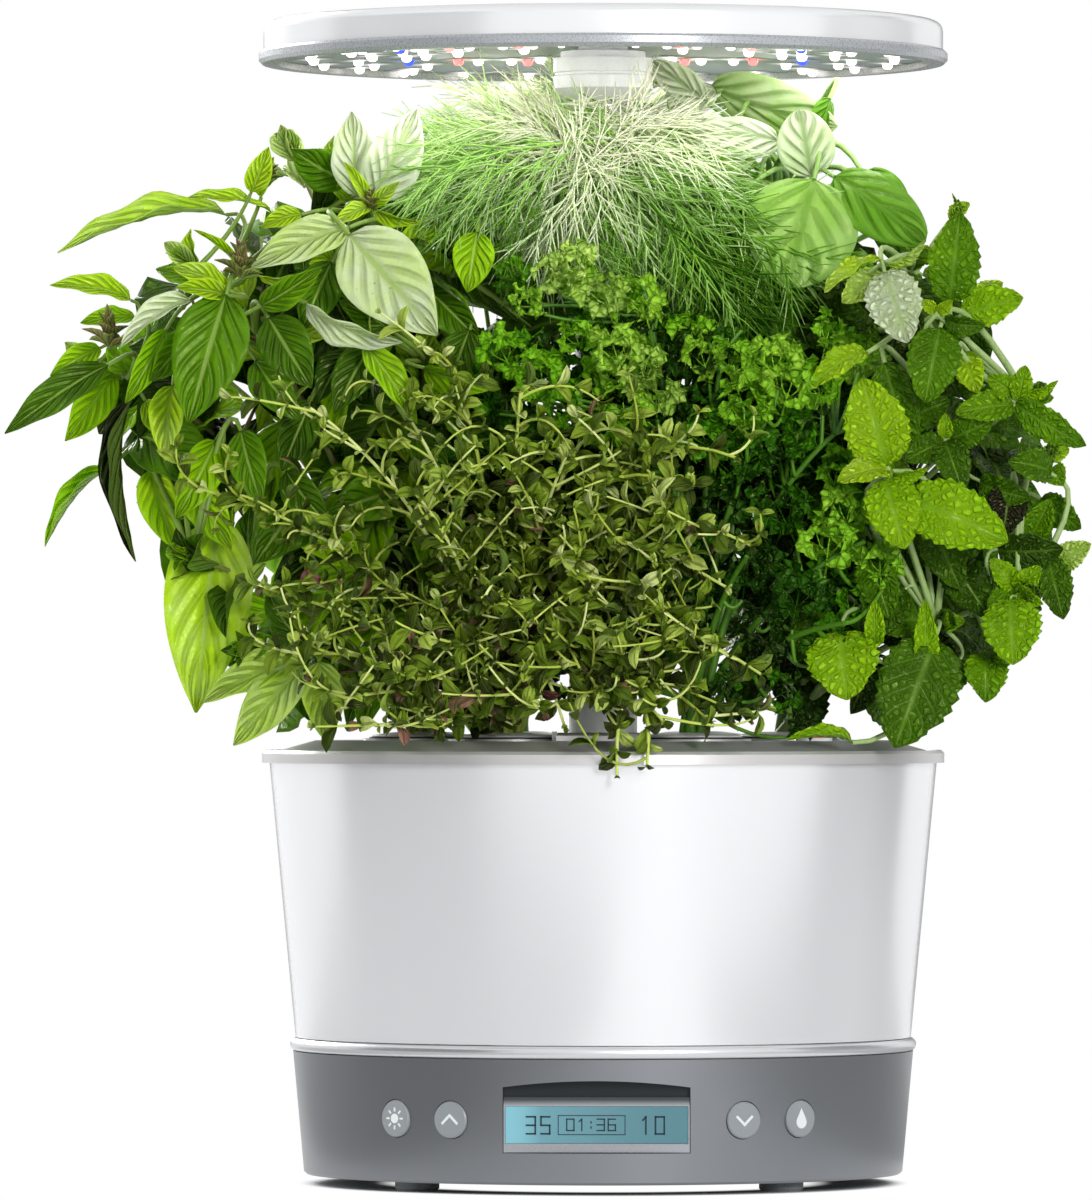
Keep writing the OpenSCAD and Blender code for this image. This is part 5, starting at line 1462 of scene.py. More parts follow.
# %% Mint leaves
MINT_LEAVES = [
    (138, 350, 142, 386, -84, -92, 21.5, 0, 0.42, 0), (143, 345, 167, 352, -70, -80, 17.5, -10, 0.62, 1),
    (147, 351, 159, 358, -60, -66, 11.1, 10, 0.78, 2), (112, 362, 121, 334, -86, -96, 23.1, 0, 0.96, 1),
    (112, 366, 88, 354, -80, -92, 8.7, 60, 0.78, 2), (112, 366, 128, 375, -80, -86, 7.2, 60, 0.82, 3),
    (112, 361, 95, 350, -70, -78, 14.3, 20, 0.8, 0), (136, 344, 152, 341, -88, -94, 10.3, 40, 0.3, 2),
    (134, 340, 128, 310, -86, -94, 22.3, 0, 0.38, 0), (143, 330, 149, 314, -70, -76, 12.7, 0, 0.7, 1),
    (105, 330, 83, 317, -84, -94, 11.9, 30, 0.7, 2), (112, 326, 124, 289, -74, -84, 18.3, 10, 0.34, 0),
    (113, 285, 103, 320, -88, -94, 27, 0, 0.66, 1), (115, 283, 93, 279, -86, -96, 12.7, 35, 0.76, 2),
    (112, 280, 120, 252, -88, -96, 23.1, 0, 0.62, 0), (120, 272, 161, 255, -88, -96, 27, -8, 0.6, 1),
    (115, 282, 129, 284, -88, -94, 7.2, 40, 0.6, 3), (136, 295, 120, 287, -78, -86, 12.7, 10, 0.3, 0),
    (137, 295, 155, 303, -76, -84, 13.5, 0, 0.34, 1), (136, 295, 143, 275, -78, -86, 15.1, 0, 0.28, 2),
    (136, 296, 136, 306, -78, -80, 6.4, 0, 0.62, 3), (164, 310, 192, 293, -76, -86, 14.3, 20, 0.42, 0),
    (163, 309, 140, 306, -76, -86, 13.5, 15, 0.46, 1), (163, 313, 153, 321, -74, -80, 11.1, 10, 0.52, 2),
    (166, 314, 181, 319, -72, -80, 5.6, 40, 0.64, 3), (165, 311, 168, 325, -76, -78, 9.5, 0, 0.56, 1),
    (178, 282, 161, 287, -70, -80, 14.3, 20, 0.36, 2), (178, 284, 183, 277, -66, -70, 10.3, 0, 0.48, 3),
    (162, 278, 159, 257, -64, -70, 16.7, 0, 0.03, 0), (157, 252, 183, 252, -64, -74, 16.7, 20, 0.2, 1),
    (179, 247, 194, 254, -50, -56, 11.9, 10, 0.82, 2), (177, 249, 183, 224, -60, -68, 15.1, 0, 0.28, 0),
    (162, 232, 163, 206, -76, -84, 24.7, 0, 0.54, 1), (152, 210, 152, 191, -66, -74, 18.3, 0, 0.46, 2),
    (132, 216, 116, 173, -84, -96, 34.2, 0, 0.3, 0), (95, 219, 97, 192, -84, -94, 30.2, 5, 0.62, 1),
    (108, 213, 108, 232, -86, -90, 8.7, 0, 0.64, 3), (127, 199, 128, 232, -80, -86, 10.3, 10, 0.62, 2),
    (99, 175, 73, 176, -92, -104, 6.4, 50, 0.6, 3), (164, 236, 154, 248, -70, -74, 10.3, 10, 0.58, 1),
    (164, 236, 174, 245, -70, -76, 10.3, 10, 0.6, 2), (164, 236, 175, 230, -70, -78, 9.5, 20, 0.54, 3),
    (163, 236, 153, 228, -70, -78, 9.5, 20, 0.44, 1), (120, 236, 102, 216, -70, -78, 18.3, 10, 0.26, 0),
    (138, 248, 154, 224, -60, -68, 19.1, 0, 0.22, 2), (130, 264, 142, 236, -66, -74, 19.1, 0, 0.26, 1),
    (174, 272, 190, 260, -50, -58, 13.5, 10, 0.34, 0), (150, 279, 170, 272, -60, -68, 13.5, 20, 0.28, 2),
    (118, 303, 138, 311, -60, -66, 15.9, 0, 0.3, 1), (106, 248, 114, 224, -70, -78, 17.5, 0, 0.34, 2),
    (142, 208, 130, 192, -60, -70, 17.5, 10, 0.34, 1), (86, 232, 78, 208, -60, -70, 17.5, 0, 0.3, 0),
    (170, 256, 178, 272, -50, -56, 12.7, 0, 0.44, 3), (152, 311, 142, 327, -60, -64, 13.5, 0, 0.36, 0),
    (132, 346, 126, 351, -88, -90, 5.6, 10, 0.72, 3), (133, 346, 139, 351, -88, -90, 5.6, 10, 0.7, 3),
    (102, 264, 90, 248, -66, -74, 14.3, 0, 0.4, 1)]
mint_shapes = [
    leaf("shape_00", 27, 8, swell=0.5, taper=0.72, fold=0.12, arch=0.08, quilt=0.035, ribs=7, teeth=9,
         bite=0.16, wave=0.02),
    leaf("shape_01", 27, 8, swell=0.52, taper=0.7, fold=0.22, arch=0.12, quilt=0.04, ribs=7, teeth=9,
         bite=0.16, wave=0.03, seed=2),
    leaf("shape_02", 27, 8, swell=0.5, taper=0.7, fold=0.3, arch=0.18, quilt=0.035, ribs=7, teeth=9,
         bite=0.15, wave=0.04, twist=0.3, seed=3),
    leaf("shape_03", 18, 6, swell=0.55, taper=0.8, fold=0.5, arch=0.15, quilt=0.03, teeth=6, bite=0.15,
         wave=0.03, seed=4)]


def mint_tint_and_light(place, rng):
    """Painted shade low down, painted light higher up, and some tone at random."""
    high = (place.z / MM - 200) / 190
    return min(0.9, max(0.1, 0.22 + 0.26 * high + rng.uniform(-0.14, 0.2)))


rng = random.Random(21)
rows, stalks = placed_leaves(MINT_LEAVES, STEMS["mint"])
more, extra = pairs(STEMS["mint"], rng, [3, 8, 13, 17, 20, 24], 27, 38, [0, 1, 2], mint_tint_and_light, BUSH, keep=0.7,
                    crown=5)
mint_green = leafy("mint_leaf", GREENS, (130, 176, 50), ribs=7, strength=0.3, rough=0.34, net=0.7,
                   crease_shade=0.7)
mint_stem = stalk("mint_stem", [(0.0, (66, 40, 44)), (0.35, (120, 150, 84)), (0.6, (170, 196, 120)),
                                (1.0, (200, 216, 150))])
planted(scatter("mint_leaves", rows + more, mint_shapes, mint_green), "mint")
rows, stalks_in = shade(rng, 85, (78, 186), (172, 372), (-30, 40), 40, (0.08, 0.34), [0, 1, 2],
                        STEMS["mint"], BUSH)
planted(scatter("mint_inner", rows, small_shapes, mint_green), "mint")
stems("mint", 0.0018, 0.0011, 0.5, stalks + extra + stalks_in, mint_stem)

# %% [markdown]
# ## Sweet basil
#
# Large smooth domed leaves behind the others, right under the lamp, so most of them are painted pale, as
# painted light. A domed leaf is convex: its sides and tip curl down, and the skin swells a little between
# few side veins.

# %% Sweet basil leaves
BASIL_LEAVES = [
    (43, 436, 93, 420, 20, -6, 23.9, 30, 0.9, 0), (90, 431, 83, 416, -2, -10, 10.3, -30, 0.46, 1),
    (41, 430, 19, 446, 10, 6, 13.5, 0, 0.97, 2), (70, 414, 35, 417, -10, -24, 17.5, 15, 1, 1),
    (83, 400, 78, 427, -20, -22, 23.1, 0, 0.93, 0), (84, 399, 73, 356, -30, -46, 44.5, 0, 0.74, 0),
    (92, 400, 128, 374, -24, -44, 24.7, -10, 0.56, 1), (103, 402, 119, 373, 0, -10, 23.9, 0, 0.52, 2),
    (58, 396, 35, 377, -20, -34, 15.9, 15, 0.36, 0), (78, 356, 73, 330, -20, -34, 27.8, 0, 0.56, 1),
    (93, 372, 101, 342, -14, -28, 25.4, 5, 0.5, 2), (39, 410, 35, 382, 10, 0, 24.7, 0, 0.78, 1),
    (24, 426, 13, 402, 20, 10, 23.9, 0, 0.97, 2), (54, 423, 46, 399, 0, -14, 23.9, 10, 0.92, 0),
    (110, 389, 125, 364, -10, -20, 18.3, 10, 0.62, 1), (62, 399, 55, 366, -6, -24, 26.2, 0, 0.8, 2),
    (120, 367, 110, 339, 10, 0, 23.9, 0, 0.46, 0), (58, 355, 50, 331, 10, 0, 23.9, 0, 0.44, 1),
    (-1, 411, -13, 387, 30, 20, 22.3, 0, 0.8, 2), (31, 383, 23, 355, 10, 0, 23.9, 0, 0.52, 0),
    (90, 339, 98, 311, 0, -10, 26.2, 0, 0.42, 1), (70, 331, 66, 303, 10, 0, 26.2, 0, 0.3, 2),
    (106, 339, 94, 359, 20, 20, 22.3, 0, 0.56, 0), (45, 434, 19, 424, 14, 8, 14.3, 10, 1, 1),
    (56, 411, 5, 407, 24, 10, 30.2, 10, 1, 0), (39, 385, 8, 394, 20, 10, 23.9, 20, 0.96, 2),
    (3, 427, -33, 415, 44, 34, 23.9, 0, 1, 1), (-1, 434, -17, 403, 40, 26, 23.9, 0, 1, 0),
    (52, 391, 41, 366, 6, -8, 17.5, 30, 0.4, 2), (19, 375, -1, 351, 20, 10, 22.3, 0, 0.34, 1),
    (-17, 371, -33, 347, 20, 12, 22.3, 0, 0.3, 2)]
basil_shapes = [
    leaf("shape_00", 22, 12, swell=0.5, taper=0.62, fold=0.0, arch=0.10, dome=0.10, quilt=0.022, ribs=4,
         slant=0.5, wave=0.01),
    leaf("shape_01", 22, 12, swell=0.5, taper=0.6, fold=0.02, arch=0.16, dome=0.13, quilt=0.025, ribs=4,
         slant=0.5, wave=0.02, seed=2),
    leaf("shape_02", 22, 12, swell=0.52, taper=0.66, fold=0.12, arch=0.14, dome=0.05, quilt=0.02, ribs=4,
         slant=0.5, wave=0.02, twist=0.25, seed=3)]


def basil_tint_and_light(place, rng):
    """Green low down, painted pale under the lamp as painted light, and some tone at random."""
    high = (place.z / MM - 220) / 190
    return min(1.0, max(0.2, 0.30 + 0.5 * high + rng.uniform(-0.12, 0.16)))


rng = random.Random(31)
rows, stalks = placed_leaves(BASIL_LEAVES, STEMS["basil"])
more, extra = pairs(STEMS["basil"], rng, [5, 16, 26, 34, 40], 42, 54, [0, 1, 2], basil_tint_and_light, BUSH,
                    rise=(45, -30), keep=0.8, reach=150)
BASIL_TINTS = [(0.0, (12, 38, 2)), (0.3, (54, 114, 4)), (0.5, (104, 168, 28)), (0.7, (156, 206, 84)),
               (0.85, (198, 230, 150)), (1.0, (248, 253, 236))]
basil_green = leafy("basil_leaf", BASIL_TINTS, (104, 160, 44), ribs=4, slant=0.5, rough=0.3, crease_shade=0.45)
planted(scatter("basil_leaves", rows + more, basil_shapes, basil_green), "basil")
basil_stem = stalk("basil_stem", [(0.0, (80, 110, 50)), (0.5, (134, 176, 84)), (1.0, (190, 214, 140))])
stems("basil", 0.0022, 0.0013, 0.5, stalks + extra, basil_stem)

# %% [markdown]
# ## Dill
#
# A dill leaf is a feather of threads: a main rib, side ribs, and on each a few threads less than a
# millimetre thick. Four such feathers are made as closed three-sided wires and then scattered, since a
# feather has over a thousand triangles and only some two hundred are needed. They hang round the mast's
# top, in front of it and behind. They are painted paler the nearer they are to the lamp, as painted light,
# and darker behind the mast and at the sides, as painted shade.

# %% A feather of threads


def wires(name, lines, radii):
    """A mesh of closed three-sided wires along lines of points, tapered to their tips."""
    verts, faces = [], []
    for line, radius in zip(lines, radii):
        line = [Vector(p) for p in line]
        start = len(verts)
        for i, point in enumerate(line):
            way = (line[min(i + 1, len(line) - 1)] - line[max(i - 1, 0)]).normalized()
            side = way.cross(Vector((0.31, 0.17, 0.93))).normalized()
            other = way.cross(side)
            size = radius * (1 - 0.55 * i / (len(line) - 1))
            for k in range(3):
                angle = math.tau * k / 3
                verts.append(tuple(point + (side * math.cos(angle) + other * math.sin(angle)) * size))
        for i in range(len(line) - 1):
            a = start + 3 * i
            faces += [(a + k, a + (k + 1) % 3, a + 3 + (k + 1) % 3, a + 3 + k) for k in range(3)]
        faces.append((start + 2, start + 1, start))
        faces.append((a + 3, a + 4, a + 5))
    return unit_shape(name, verts, faces)


def feather(name, seed):
    """A dill leaf, one unit long."""
    rng = random.Random(seed)
    lines, radii = [], []

    def thread(start, way, long, count, sag, radius):
        """A thread of count pieces that wanders a little and sags."""
        points = [start]
        for _ in range(count):
            drift = Vector((rng.uniform(-.1, .1), rng.uniform(-.1, .1), rng.uniform(-.1, .1) - sag))
            way = way.normalized() + drift
            points.append(points[-1] + way.normalized() * long / count)
        lines.append(points)
        radii.append(radius)
        return points

    spine = thread(Vector((0, 0, 0)), Vector((rng.uniform(-.2, .2), 1, 0.3)), 1.0, 7, 0.08, 0.0105)
    for i in range(1, 7):
        for sign in (-1, 1):
            start = spine[i].lerp(spine[i + 1], rng.random())
            way = Vector((sign * rng.uniform(0.45, 0.9), 1, rng.uniform(-0.35, 0.35)))
            branch = thread(start, way, (0.52 - 0.045 * i) * rng.uniform(0.8, 1.15), 3, 0.14, 0.0080)
            for j in range(1, 4):
                for twin in (-1, 1):
                    aside = Vector((twin * rng.uniform(0.25, 0.55), 0, rng.uniform(-0.4, 0.4)))
                    thread(branch[j], way.normalized() + aside, rng.uniform(0.17, 0.30), 2, 0.2, 0.0066)
    return wires(name, lines, radii)


DILL_TINTS = [(0.0, (16, 50, 2)), (0.2, (70, 130, 12)), (0.45, (146, 204, 60)), (0.7, (220, 246, 178)),
              (0.85, (246, 254, 232)), (1.0, (255, 255, 250))]
dill_green = leafy("dill_thread", DILL_TINTS, (150, 190, 120), strength=0.0, rough=0.5, through=0.35,
                   crease_shade=0.0, under=(226, 240, 196))
dill_shapes = [feather(f"shape_{i:02d}", 40 + i) for i in range(4)]
print("triangles of a feather:", [triangles(s) for s in dill_shapes])

# %% The dill bush
DILL_BUSH = [
    (-80, 385), (-80, 407), (-72, 426), (-53, 432), (-29, 434), (-17, 442), (-5, 432), (15, 435), (39, 426),
    (62, 400), (75, 366), (72, 334), (52, 333), (39, 349), (15, 351), (-17, 366), (-49, 364)]
THIN_FROM, THINNED = 22, 0.45  # right of this many millimetres, that share of the feathers is left out


def dill_rows(rng, count, near, far, tints):
    """Feathers that spring from the crown and hang down round it, within the outline."""
    rows, stalks = [], []
    every = np.concatenate(STEMS["dill"])
    while len(rows) < count:
        u, v = rng.uniform(-82, 78), rng.uniform(330, 448)
        flow = Vector(((u + 12) / 55 + rng.uniform(-0.5, 0.5), 0, (v - 408) / 36 + rng.uniform(-0.5, 0.3)))
        flow.normalize()
        long = rng.uniform(40, 72)
        depth = rng.uniform(near, far)
        base = (u - flow.x * long * 0.5, v - flow.z * long * 0.5)
        tip = (u + flow.x * long * 0.5, v + flow.z * long * 0.5)
        if not (inside(*base, DILL_BUSH) and inside(*tip, DILL_BUSH)):
            continue
        if u > THIN_FROM and rng.random() < THINNED:
            continue
        start, end = seen(*base, depth + rng.uniform(0, 14)), seen(*tip, depth - rng.uniform(0, 14))
        aim = (end - start).normalized()
        face = Vector((rng.uniform(-0.7, 0.7), -0.8, rng.uniform(0.2, 1))).normalized()
        size = long * MM
        # Painted light and shade: feathers higher up are painted paler, those at the sides darker.
        high = min(1.0, max(0.0, (v - 372) / 50))
        side_shade = 0.14 * (u > 24) + 0.16 * (u < -26)
        tint = tints[0] + (tints[1] - tints[0]) * high - side_shade + rng.uniform(-0.26, 0.18)
        rows.append((start, aim, face, (size, size, size), rng.randrange(4), min(1.0, max(0.0, tint))))
        joint = joint_on(every, start, 0.015)
        knee = (joint + start) * 0.5 + Vector((0, 0, 0.008))
        stalks.append((bend(joint, knee, start, 7), np.linspace(0.0007, 0.0004, 7), 0.6))
    return rows, stalks


rng = random.Random(41)
# The feathers behind the mast reach much darker tints, as painted shade.
front, stalks = dill_rows(rng, 128, -46, -12, (0.50, 1.0))
back, extra = dill_rows(rng, 104, 8, 84, (0.04, 1.0))
for title, rows in (("dill_front", front), ("dill_back", back)):
    planted(scatter(title, rows, dill_shapes, dill_green), "dill")
dill_stem = stalk("dill_stem", [(0.0, (60, 90, 44)), (0.5, (120, 160, 76)), (1.0, (196, 214, 130))])
stems("dill", 0.0016, 0.0006, 0.5, stalks + extra, dill_stem)

# %% [markdown]
# ## Parsley
#
# Curly parsley is a crowd of frilled fans. One fan is a lobed half disc whose edge waves up and down; a
# sprig is seven fans on a forked stalk, turned all ways, so that it reads as a small cushion. The ones at
# the top, under the lamp, are painted bright, as painted light, and those in the middle of the bush and
# further back are painted nearly black, as painted shade.

# %% A parsley sprig
OPENING = math.radians(104)  # from a fan's middle to its side


def fan(rng, across=12, out=3, ruffle=0.22, lobes=3):
    """Points and faces of one frilled fan of radius one, opening along +Y."""
    phase, verts = rng.uniform(0, 6.3), []
    for i in range(across + 1):
        angle = (i / across * 2 - 1) * OPENING
        edge = 0.72 + 0.26 * abs(math.cos(lobes * angle / 2)) + 0.13 * math.sin(11 * angle + phase)
        for k in range(out + 1):
            r = 0.10 + (edge - 0.10) * k / out
            lift = ruffle * r ** 1.6 * math.sin(6.5 * angle + phase) + 0.22 * r * r
            verts.append(Vector((r * math.sin(angle), r * math.cos(angle), lift)))
    n, w = len(verts), out + 1
    verts += [v - Vector((0, 0, 0.035)) for v in verts]
    faces = []
    for i in range(across):
        for k in range(out):
            a = i * w + k
            faces += [(a, a + w, a + w + 1, a + 1)[::-1], (n + a, n + a + w, n + a + w + 1, n + a + 1)]
    faces += [(a, b, n + b, n + a) for a, b in grid_rim(across, out)]
    return verts, faces, [0.0] * n + [1.0] * n


def sprig(name, seed, fans=7):
    """Frilled fans on a forked stalk, about one unit across."""
    rng = random.Random(seed)
    verts, faces, under = [], [], []
    for i in range(fans):
        points, loops, backs = fan(rng, ruffle=rng.uniform(0.28, 0.46))
        size = rng.uniform(0.20, 0.30)
        angle = i * GOLDEN + rng.uniform(-0.4, 0.4) if i else 0.0
        reach = rng.uniform(0.16, 0.30) if i else 0.0
        place = Vector((math.sin(angle) * reach, 0.55 + math.cos(angle) * reach, rng.uniform(-0.12, 0.16)))
        turn = Matrix.Rotation(-angle + rng.uniform(-0.5, 0.5), 3, "Z")
        turn = turn @ Matrix.Rotation(rng.uniform(-0.75, 0.75), 3, "X")
        turn = turn @ Matrix.Rotation(rng.uniform(-0.8, 0.8), 3, "Y")
        n = len(verts)
        verts += [tuple(place + turn @ (p * size)) for p in points]
        faces += [tuple(n + k for k in loop) for loop in loops]
        under += backs
    stalk_mesh = wires("stalks", [[(0, 0, 0), (0, 0.3, 0.02), (0, 0.56, 0)]] + [
        [(0, 0.3, 0.0), (0.12 * s, 0.45, 0.03), (0.2 * s, 0.6, 0)] for s in (-1, 1)], [0.02, 0.015, 0.015])
    n = len(verts)
    verts += [tuple(v.co) for v in stalk_mesh.data.vertices]
    faces += [tuple(n + k for k in p.vertices) for p in stalk_mesh.data.polygons]
    under += [0.0] * (len(verts) - n)
    return unit_shape(name, verts, faces, under=under)


parsley_shapes = [sprig(f"shape_{i:02d}", 60 + i) for i in range(5)]
print("triangles of a sprig:", [triangles(s) for s in parsley_shapes])

# %% The parsley bush
# The sprigs' tints paint light and shade: pale at the top under the lamp, nearly black inside the bush.
PARSLEY_SPRIGS = [  # right, up, depth, size in millimetres and tint
    (-13, 366, -74, 21, 0.95), (-22, 360, -76, 16, 0.9), (0, 354, -80, 20, 0.85), (15, 351, -78, 21, 0.7),
    (-31, 351, -72, 16, 0.65), (-11, 337, -78, 17, 0.58), (-41, 332, -80, 22, 0.53),
    (-29, 322, -86, 24, 0.55), (4, 333, -88, 24, 0.75), (15, 324, -90, 24, 0.85), (21, 314, -92, 21, 0.9),
    (8, 310, -90, 23, 0.65), (-1, 298, -86, 20, 0.5), (39, 330, -80, 20, 0.65), (35, 339, -72, 17, 0.58),
    (52, 325, -90, 24, 0.68), (67, 329, -92, 23, 0.72), (75, 318, -92, 23, 0.65), (56, 308, -92, 24, 0.6),
    (39, 299, -84, 23, 0.4), (59, 292, -84, 24, 0.26), (79, 299, -84, 21, 0.4), (93, 283, -72, 20, 0.45),
    (46, 272, -80, 25, 0.16), (70, 268, -82, 26, 0.14), (90, 256, -84, 25, 0.58), (58, 248, -84, 26, 0.13),
    (39, 236, -80, 23, 0.14), (78, 236, -82, 26, 0.12), (101, 232, -74, 22, 0.4), (32, 216, -84, 22, 0.14),
    (62, 217, -86, 25, 0.13), (47, 198, -88, 21, 0.2), (90, 212, -84, 22, 0.2), (74, 196, -90, 19, 0.25),
    (90, 339, -60, 17, 0.56), (102, 331, -60, 14, 0.62), (-49, 315, -70, 19, 0.3),
    (-17, 311, -80, 22, 0.43), (-5, 283, -74, 20, 0.2), (15, 291, -80, 21, 0.24), (35, 256, -76, 22, 0.14),
    (19, 264, -70, 20, 0.16), (98, 268, -78, 20, 0.6), (110, 248, -78, 20, 0.62), (-17, 291, -70, 17, 0.22),
    (50, 287, -78, 20, 0.22), (23, 236, -74, 20, 0.15)]
PARSLEY_TINTS = [(0.0, (10, 28, 2)), (0.15, (42, 100, 6)), (0.35, (98, 182, 16)), (0.55, (156, 228, 38)),
                 (0.75, (194, 244, 76)), (1.0, (224, 250, 140))]
parsley_green = leafy("parsley_leaf", PARSLEY_TINTS, (120, 180, 70), strength=0.0, rough=0.36, net=0.7,
                      crease_shade=0.7)
rng = random.Random(61)
rows, stalks = [], []
every = np.concatenate(STEMS["parsley"])
spots = list(PARSLEY_SPRIGS)
# Each sprig gets a twin further back, painted darker as painted shade.
for u, v, depth, size, tint in PARSLEY_SPRIGS:
    spots.append((u + rng.uniform(-11, 11), v + rng.uniform(-11, 9), depth + rng.uniform(12, 26),
                  size * rng.uniform(0.8, 1.05), max(0.06, tint - rng.uniform(0.12, 0.25))))
for u, v, depth, size, tint in spots:
    middle = seen(u, v, depth)
    joint = joint_on(every, middle, 0.02)
    up = Vector((rng.uniform(-0.5, 0.5), rng.uniform(-0.6, 0.1), 0.8))
    aim = (up + (middle - joint).normalized()).normalized()
    face = Vector((rng.uniform(-0.5, 0.5), -1, rng.uniform(0.1, 0.8))).normalized()
    long = size * MM * 1.15
    start = middle - aim * long * 0.55
    rows.append((start, aim, face, (long, long, long), rng.randrange(5), tint + rng.uniform(-0.06, 0.06)))
    if (start - joint).length > 0.003:
        stalks.append((bend(joint, (joint + start) * 0.5 - Vector((0, 0, 0.006)), start, 7),
                       np.linspace(0.0010, 0.0007, 7), 0.5))
planted(scatter("parsley_leaves", rows, parsley_shapes, parsley_green), "parsley")

# %% The inside of the parsley
inner, stalks_in = shade(rng, 46, (-52, 196), (110, 338), (-64, -26), 25, (0.05, 0.26), range(5),
                         STEMS["parsley"], BUSH)
for count, corner, far_corner, depths in ((20, (-26, 186), (30, 250), (-52, -34)),
                                          (30, (-34, 300), (62, 352), (-72, -52)),
                                          (10, (22, 296), (48, 330), (-72, -52))):
    more, extra_in = shade(rng, count, corner, far_corner, depths, 23, (0.05, 0.24), range(5),
                           STEMS["parsley"], BUSH)
    inner, stalks_in = inner + more, stalks_in + extra_in
inner = [(*row[:3], (row[3][1],) * 3, *row[4:]) for row in inner]
planted(scatter("parsley_inner", inner, parsley_shapes, parsley_green), "parsley")
parsley_stem = stalk("parsley_stem", [(0.0, (26, 60, 6)), (0.5, (84, 140, 16)), (1.0, (170, 214, 60))])
stems("parsley", 0.0019, 0.0010, 0.35, stalks + stalks_in, parsley_stem)

# %% [markdown]
# ## Thyme
#
# Thyme is wire: thin yellow-green stems that arch, fork and cross, with pairs of oval leaves no longer
# than a fingernail is wide, some of them purple. The leaf is repeated thousands of times, so it has only
# a few dozen faces, and the look comes from the number of stems. Those in front reach out over the lid
# before they come down, because the lid needs room to open.

# %% Thyme stems
FRONT_TIPS = [
    (14, -116, 118), (34, -122, 98), (54, -120, 110), (60, -124, 76), (44, -130, 38), (64, -126, 26),
    (26, -132, 14), (-2, -126, 62), (-70, -132, 24), (6, -112, 74), (-118, -118, 34), (50, -116, 60),
    (-20, -130, 12), (2, -131, 18), (14, -132, 30), (-42, -132, 12), (-90, -126, 18), (-56, -130, 38),
    (32, -132, 46), (-4, -130, 36), (22, -130, 70), (-12, -133, 6), (-6, -132, 28), (8, -134, 6),
    (-60, -132, 6), (-84, -124, 6), (26, -132, 8), (44, -128, 8)]
LID_LEFT, OVER_LID, BESIDE_LID = -40, 54, 12  # knees right of the first stand higher, in millimetres
foot = PODS[HERBS.index("thyme")]
thyme_lines = list(STEMS["thyme"])
for i, (x, y, rise) in enumerate(FRONT_TIPS):
    start = (foot[0] + 5 * math.cos(i * GOLDEN), foot[1] + 5 * math.sin(i * GOLDEN), SOIL)
    lift = OVER_LID if x > LID_LEFT else BESIDE_LID
    knee = (foot[0] + 0.3 * (x - foot[0]), foot[1] + 0.52 * (y - foot[1]), DECK + rise * 0.75 + lift)
    thyme_lines.append(bend(start, knee, (x, y, DECK + rise)) * MM)
OVER_RIM = [[(10, -118, 190), (8, -141, 182), (8.5, -141, 163)],
            [(16, -116, 188), (22, -140, 190), (20, -140, 167)]]
thyme_lines += [bend(*loop, 12) * MM for loop in OVER_RIM]
print("thyme stems:", len(thyme_lines))

# %% Thyme twigs
FRONT_END, LOWEST = -0.152, 0.179
rng = random.Random(71)
twigs = []
for line in thyme_lines:
    total = length_of(line)
    back = 0.003
    while back < total - 0.022:
        place, up = along(line, back)
        for _ in range(1 + (rng.random() < 0.5)):
            angle = rng.uniform(0, math.tau)
            out = Vector((math.cos(angle), math.sin(angle) - 0.35, rng.uniform(-0.1, 0.5))).normalized()
            long = rng.uniform(0.016, 0.046)
            knee = place + (out * 0.7 + up * 0.5) * long * 0.6
            tip = place + out * long * 0.8 + Vector((0, 0, rng.uniform(-0.35, 0.65))) * long
            if tip.y < FRONT_END or tip.z < LOWEST or not inside(*front_of(tip), BUSH):
                continue
            if not (leaves_room(tip, [LID]) and leaves_room(knee, [LID])):
                continue
            twigs.append(bend(place, knee, tip, 9))
        back += rng.uniform(0.008, 0.014)
print("thyme twigs:", len(twigs))

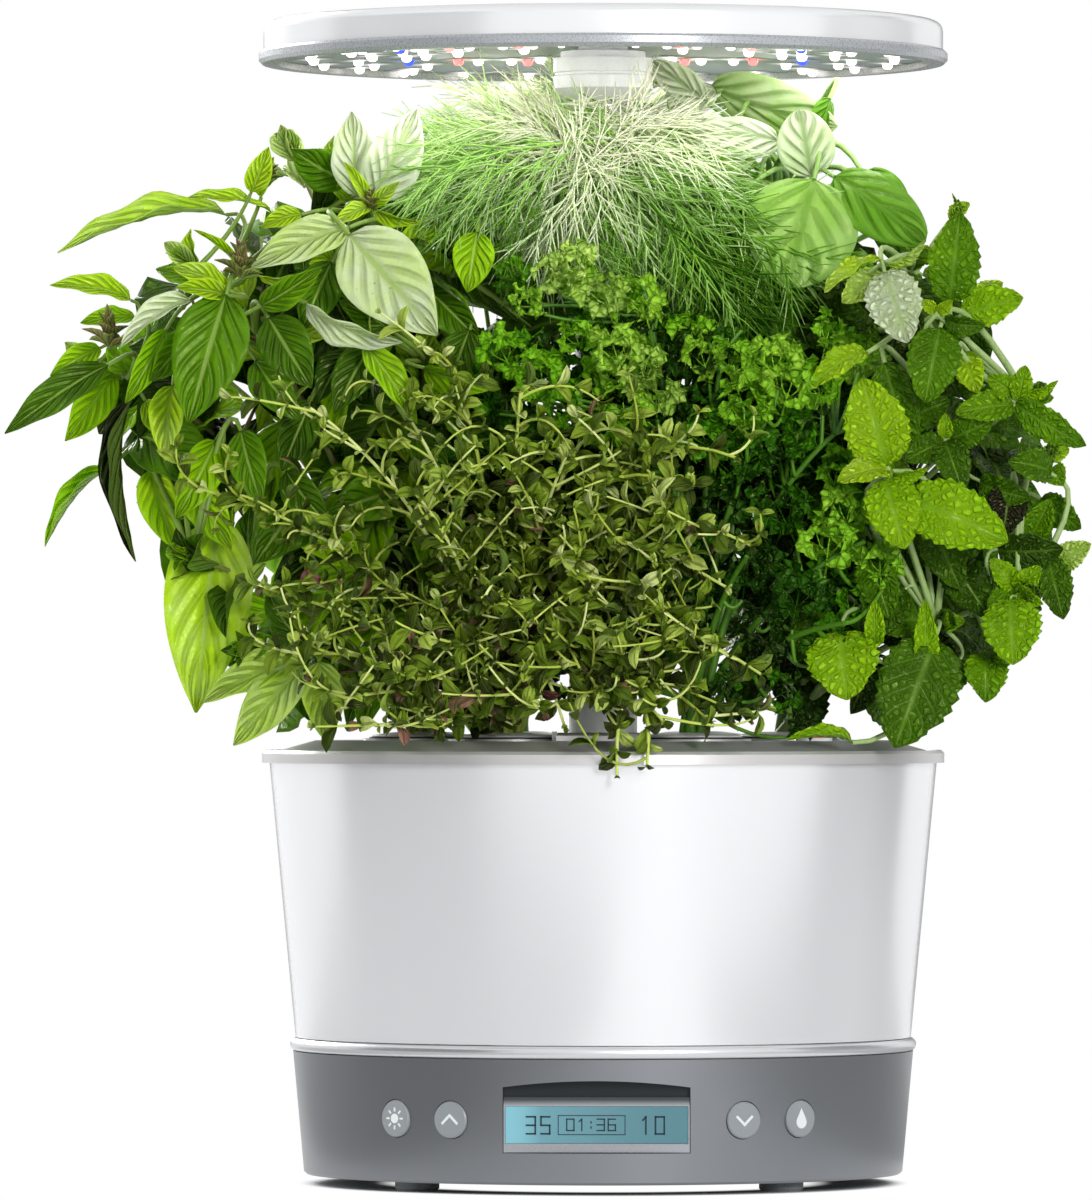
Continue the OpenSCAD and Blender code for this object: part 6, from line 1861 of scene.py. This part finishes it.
# %% Thyme leaves
thyme_shapes = [leaf("shape_00", 5, 2, swell=0.62, taper=0.6, fold=0.30, arch=0.10, thick=0.03),
                leaf("shape_01", 5, 2, swell=0.6, taper=0.55, fold=0.1, arch=0.2, thick=0.03, seed=2)]
rows = []
for line in [*thyme_lines, *twigs]:
    total, back, turn = length_of(line), 0.0005, rng.uniform(0, 3)
    purple = rng.random() < 0.05
    while back < total * 0.80:
        place, up = along(line, back)
        across, other = round_stem(up)
        for half in (0, math.pi):
            out = across * math.cos(turn + half) + other * math.sin(turn + half)
            aim = (out + up * rng.uniform(0.1, 0.9)).normalized()
            if not leaves_room(place + aim * 0.01, [LID]):
                continue
            size = rng.uniform(0.0060, 0.0115) * (0.6 if back < 0.002 else 1.0)
            # Painted light and shade: leaves higher up are painted paler, those further back darker.
            deep_shade = min(1.0, max(0.0, (place.y + 0.150) / 0.07))
            tint = rng.uniform(0.16, 0.70) + 0.2 * (place.z - 0.25) / 0.08 - 0.16 * deep_shade
            # About a fifth of the leaves are painted pale, as painted highlights.
            tint += 0.4 * (rng.random() < 0.22)
            tint = rng.uniform(0.0, 0.11) if purple and rng.random() < 0.5 else min(1.0, max(0.16, tint))
            rows.append((place, aim, (up * 0.7 - out * 0.4 + Vector((0, -0.5, 0.1))).normalized(),
                         (size * 0.52, size, size), rng.randrange(2), tint))
        turn += math.pi / 2 + rng.uniform(-0.3, 0.3)
        back += rng.uniform(0.0070, 0.0125)
print("thyme leaves:", len(rows))

# %% [markdown]
# So many leaves are too much for one piece, so they are kept as two: the upper third, and the rest.

# %% Thyme pieces
PARTING = 0.246
THYME_TINTS = [(0.0, (112, 58, 66)), (0.11, (184, 134, 116)), (0.14, (46, 62, 6)), (0.35, (98, 126, 20)),
               (0.55, (156, 184, 50)), (0.75, (206, 226, 100)), (1.0, (240, 248, 170))]
thyme_green = leafy("thyme_leaf", THYME_TINTS, (150, 176, 90), strength=0.3, ribs=1, crease_shade=0.3)
for title, low, high in (("thyme_leaves", PARTING, 1.0), ("thyme_low_leaves", 0.0, PARTING)):
    part = [row for row in rows if low <= row[0].z < high]
    planted(scatter(title, part, thyme_shapes, thyme_green), "thyme")
thyme_stem = stalk("thyme_stem", [(0.0, (104, 70, 40)), (0.25, (166, 184, 60)), (0.55, (208, 226, 96)),
                                  (1.0, (242, 250, 168))])
lines = [(line, np.linspace(0.0010, 0.0006, len(line)), rng.uniform(0.3, 0.9)) for line in thyme_lines]
lines += [(line, np.linspace(0.00065, 0.00040, len(line)), rng.uniform(0.2, 1.0)) for line in twigs]
planted(rods("thyme_stems", lines, thyme_stem, sides=5), "thyme")

# %% [markdown]
# ## Sizes, and the end
#
# The last cell prints the box that the dressed object fills, leaving out the table and the cards.

# %% Sizes, and the end
low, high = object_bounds()
print("dressed box:", [round(v, 4) for v in (*low, *high)])
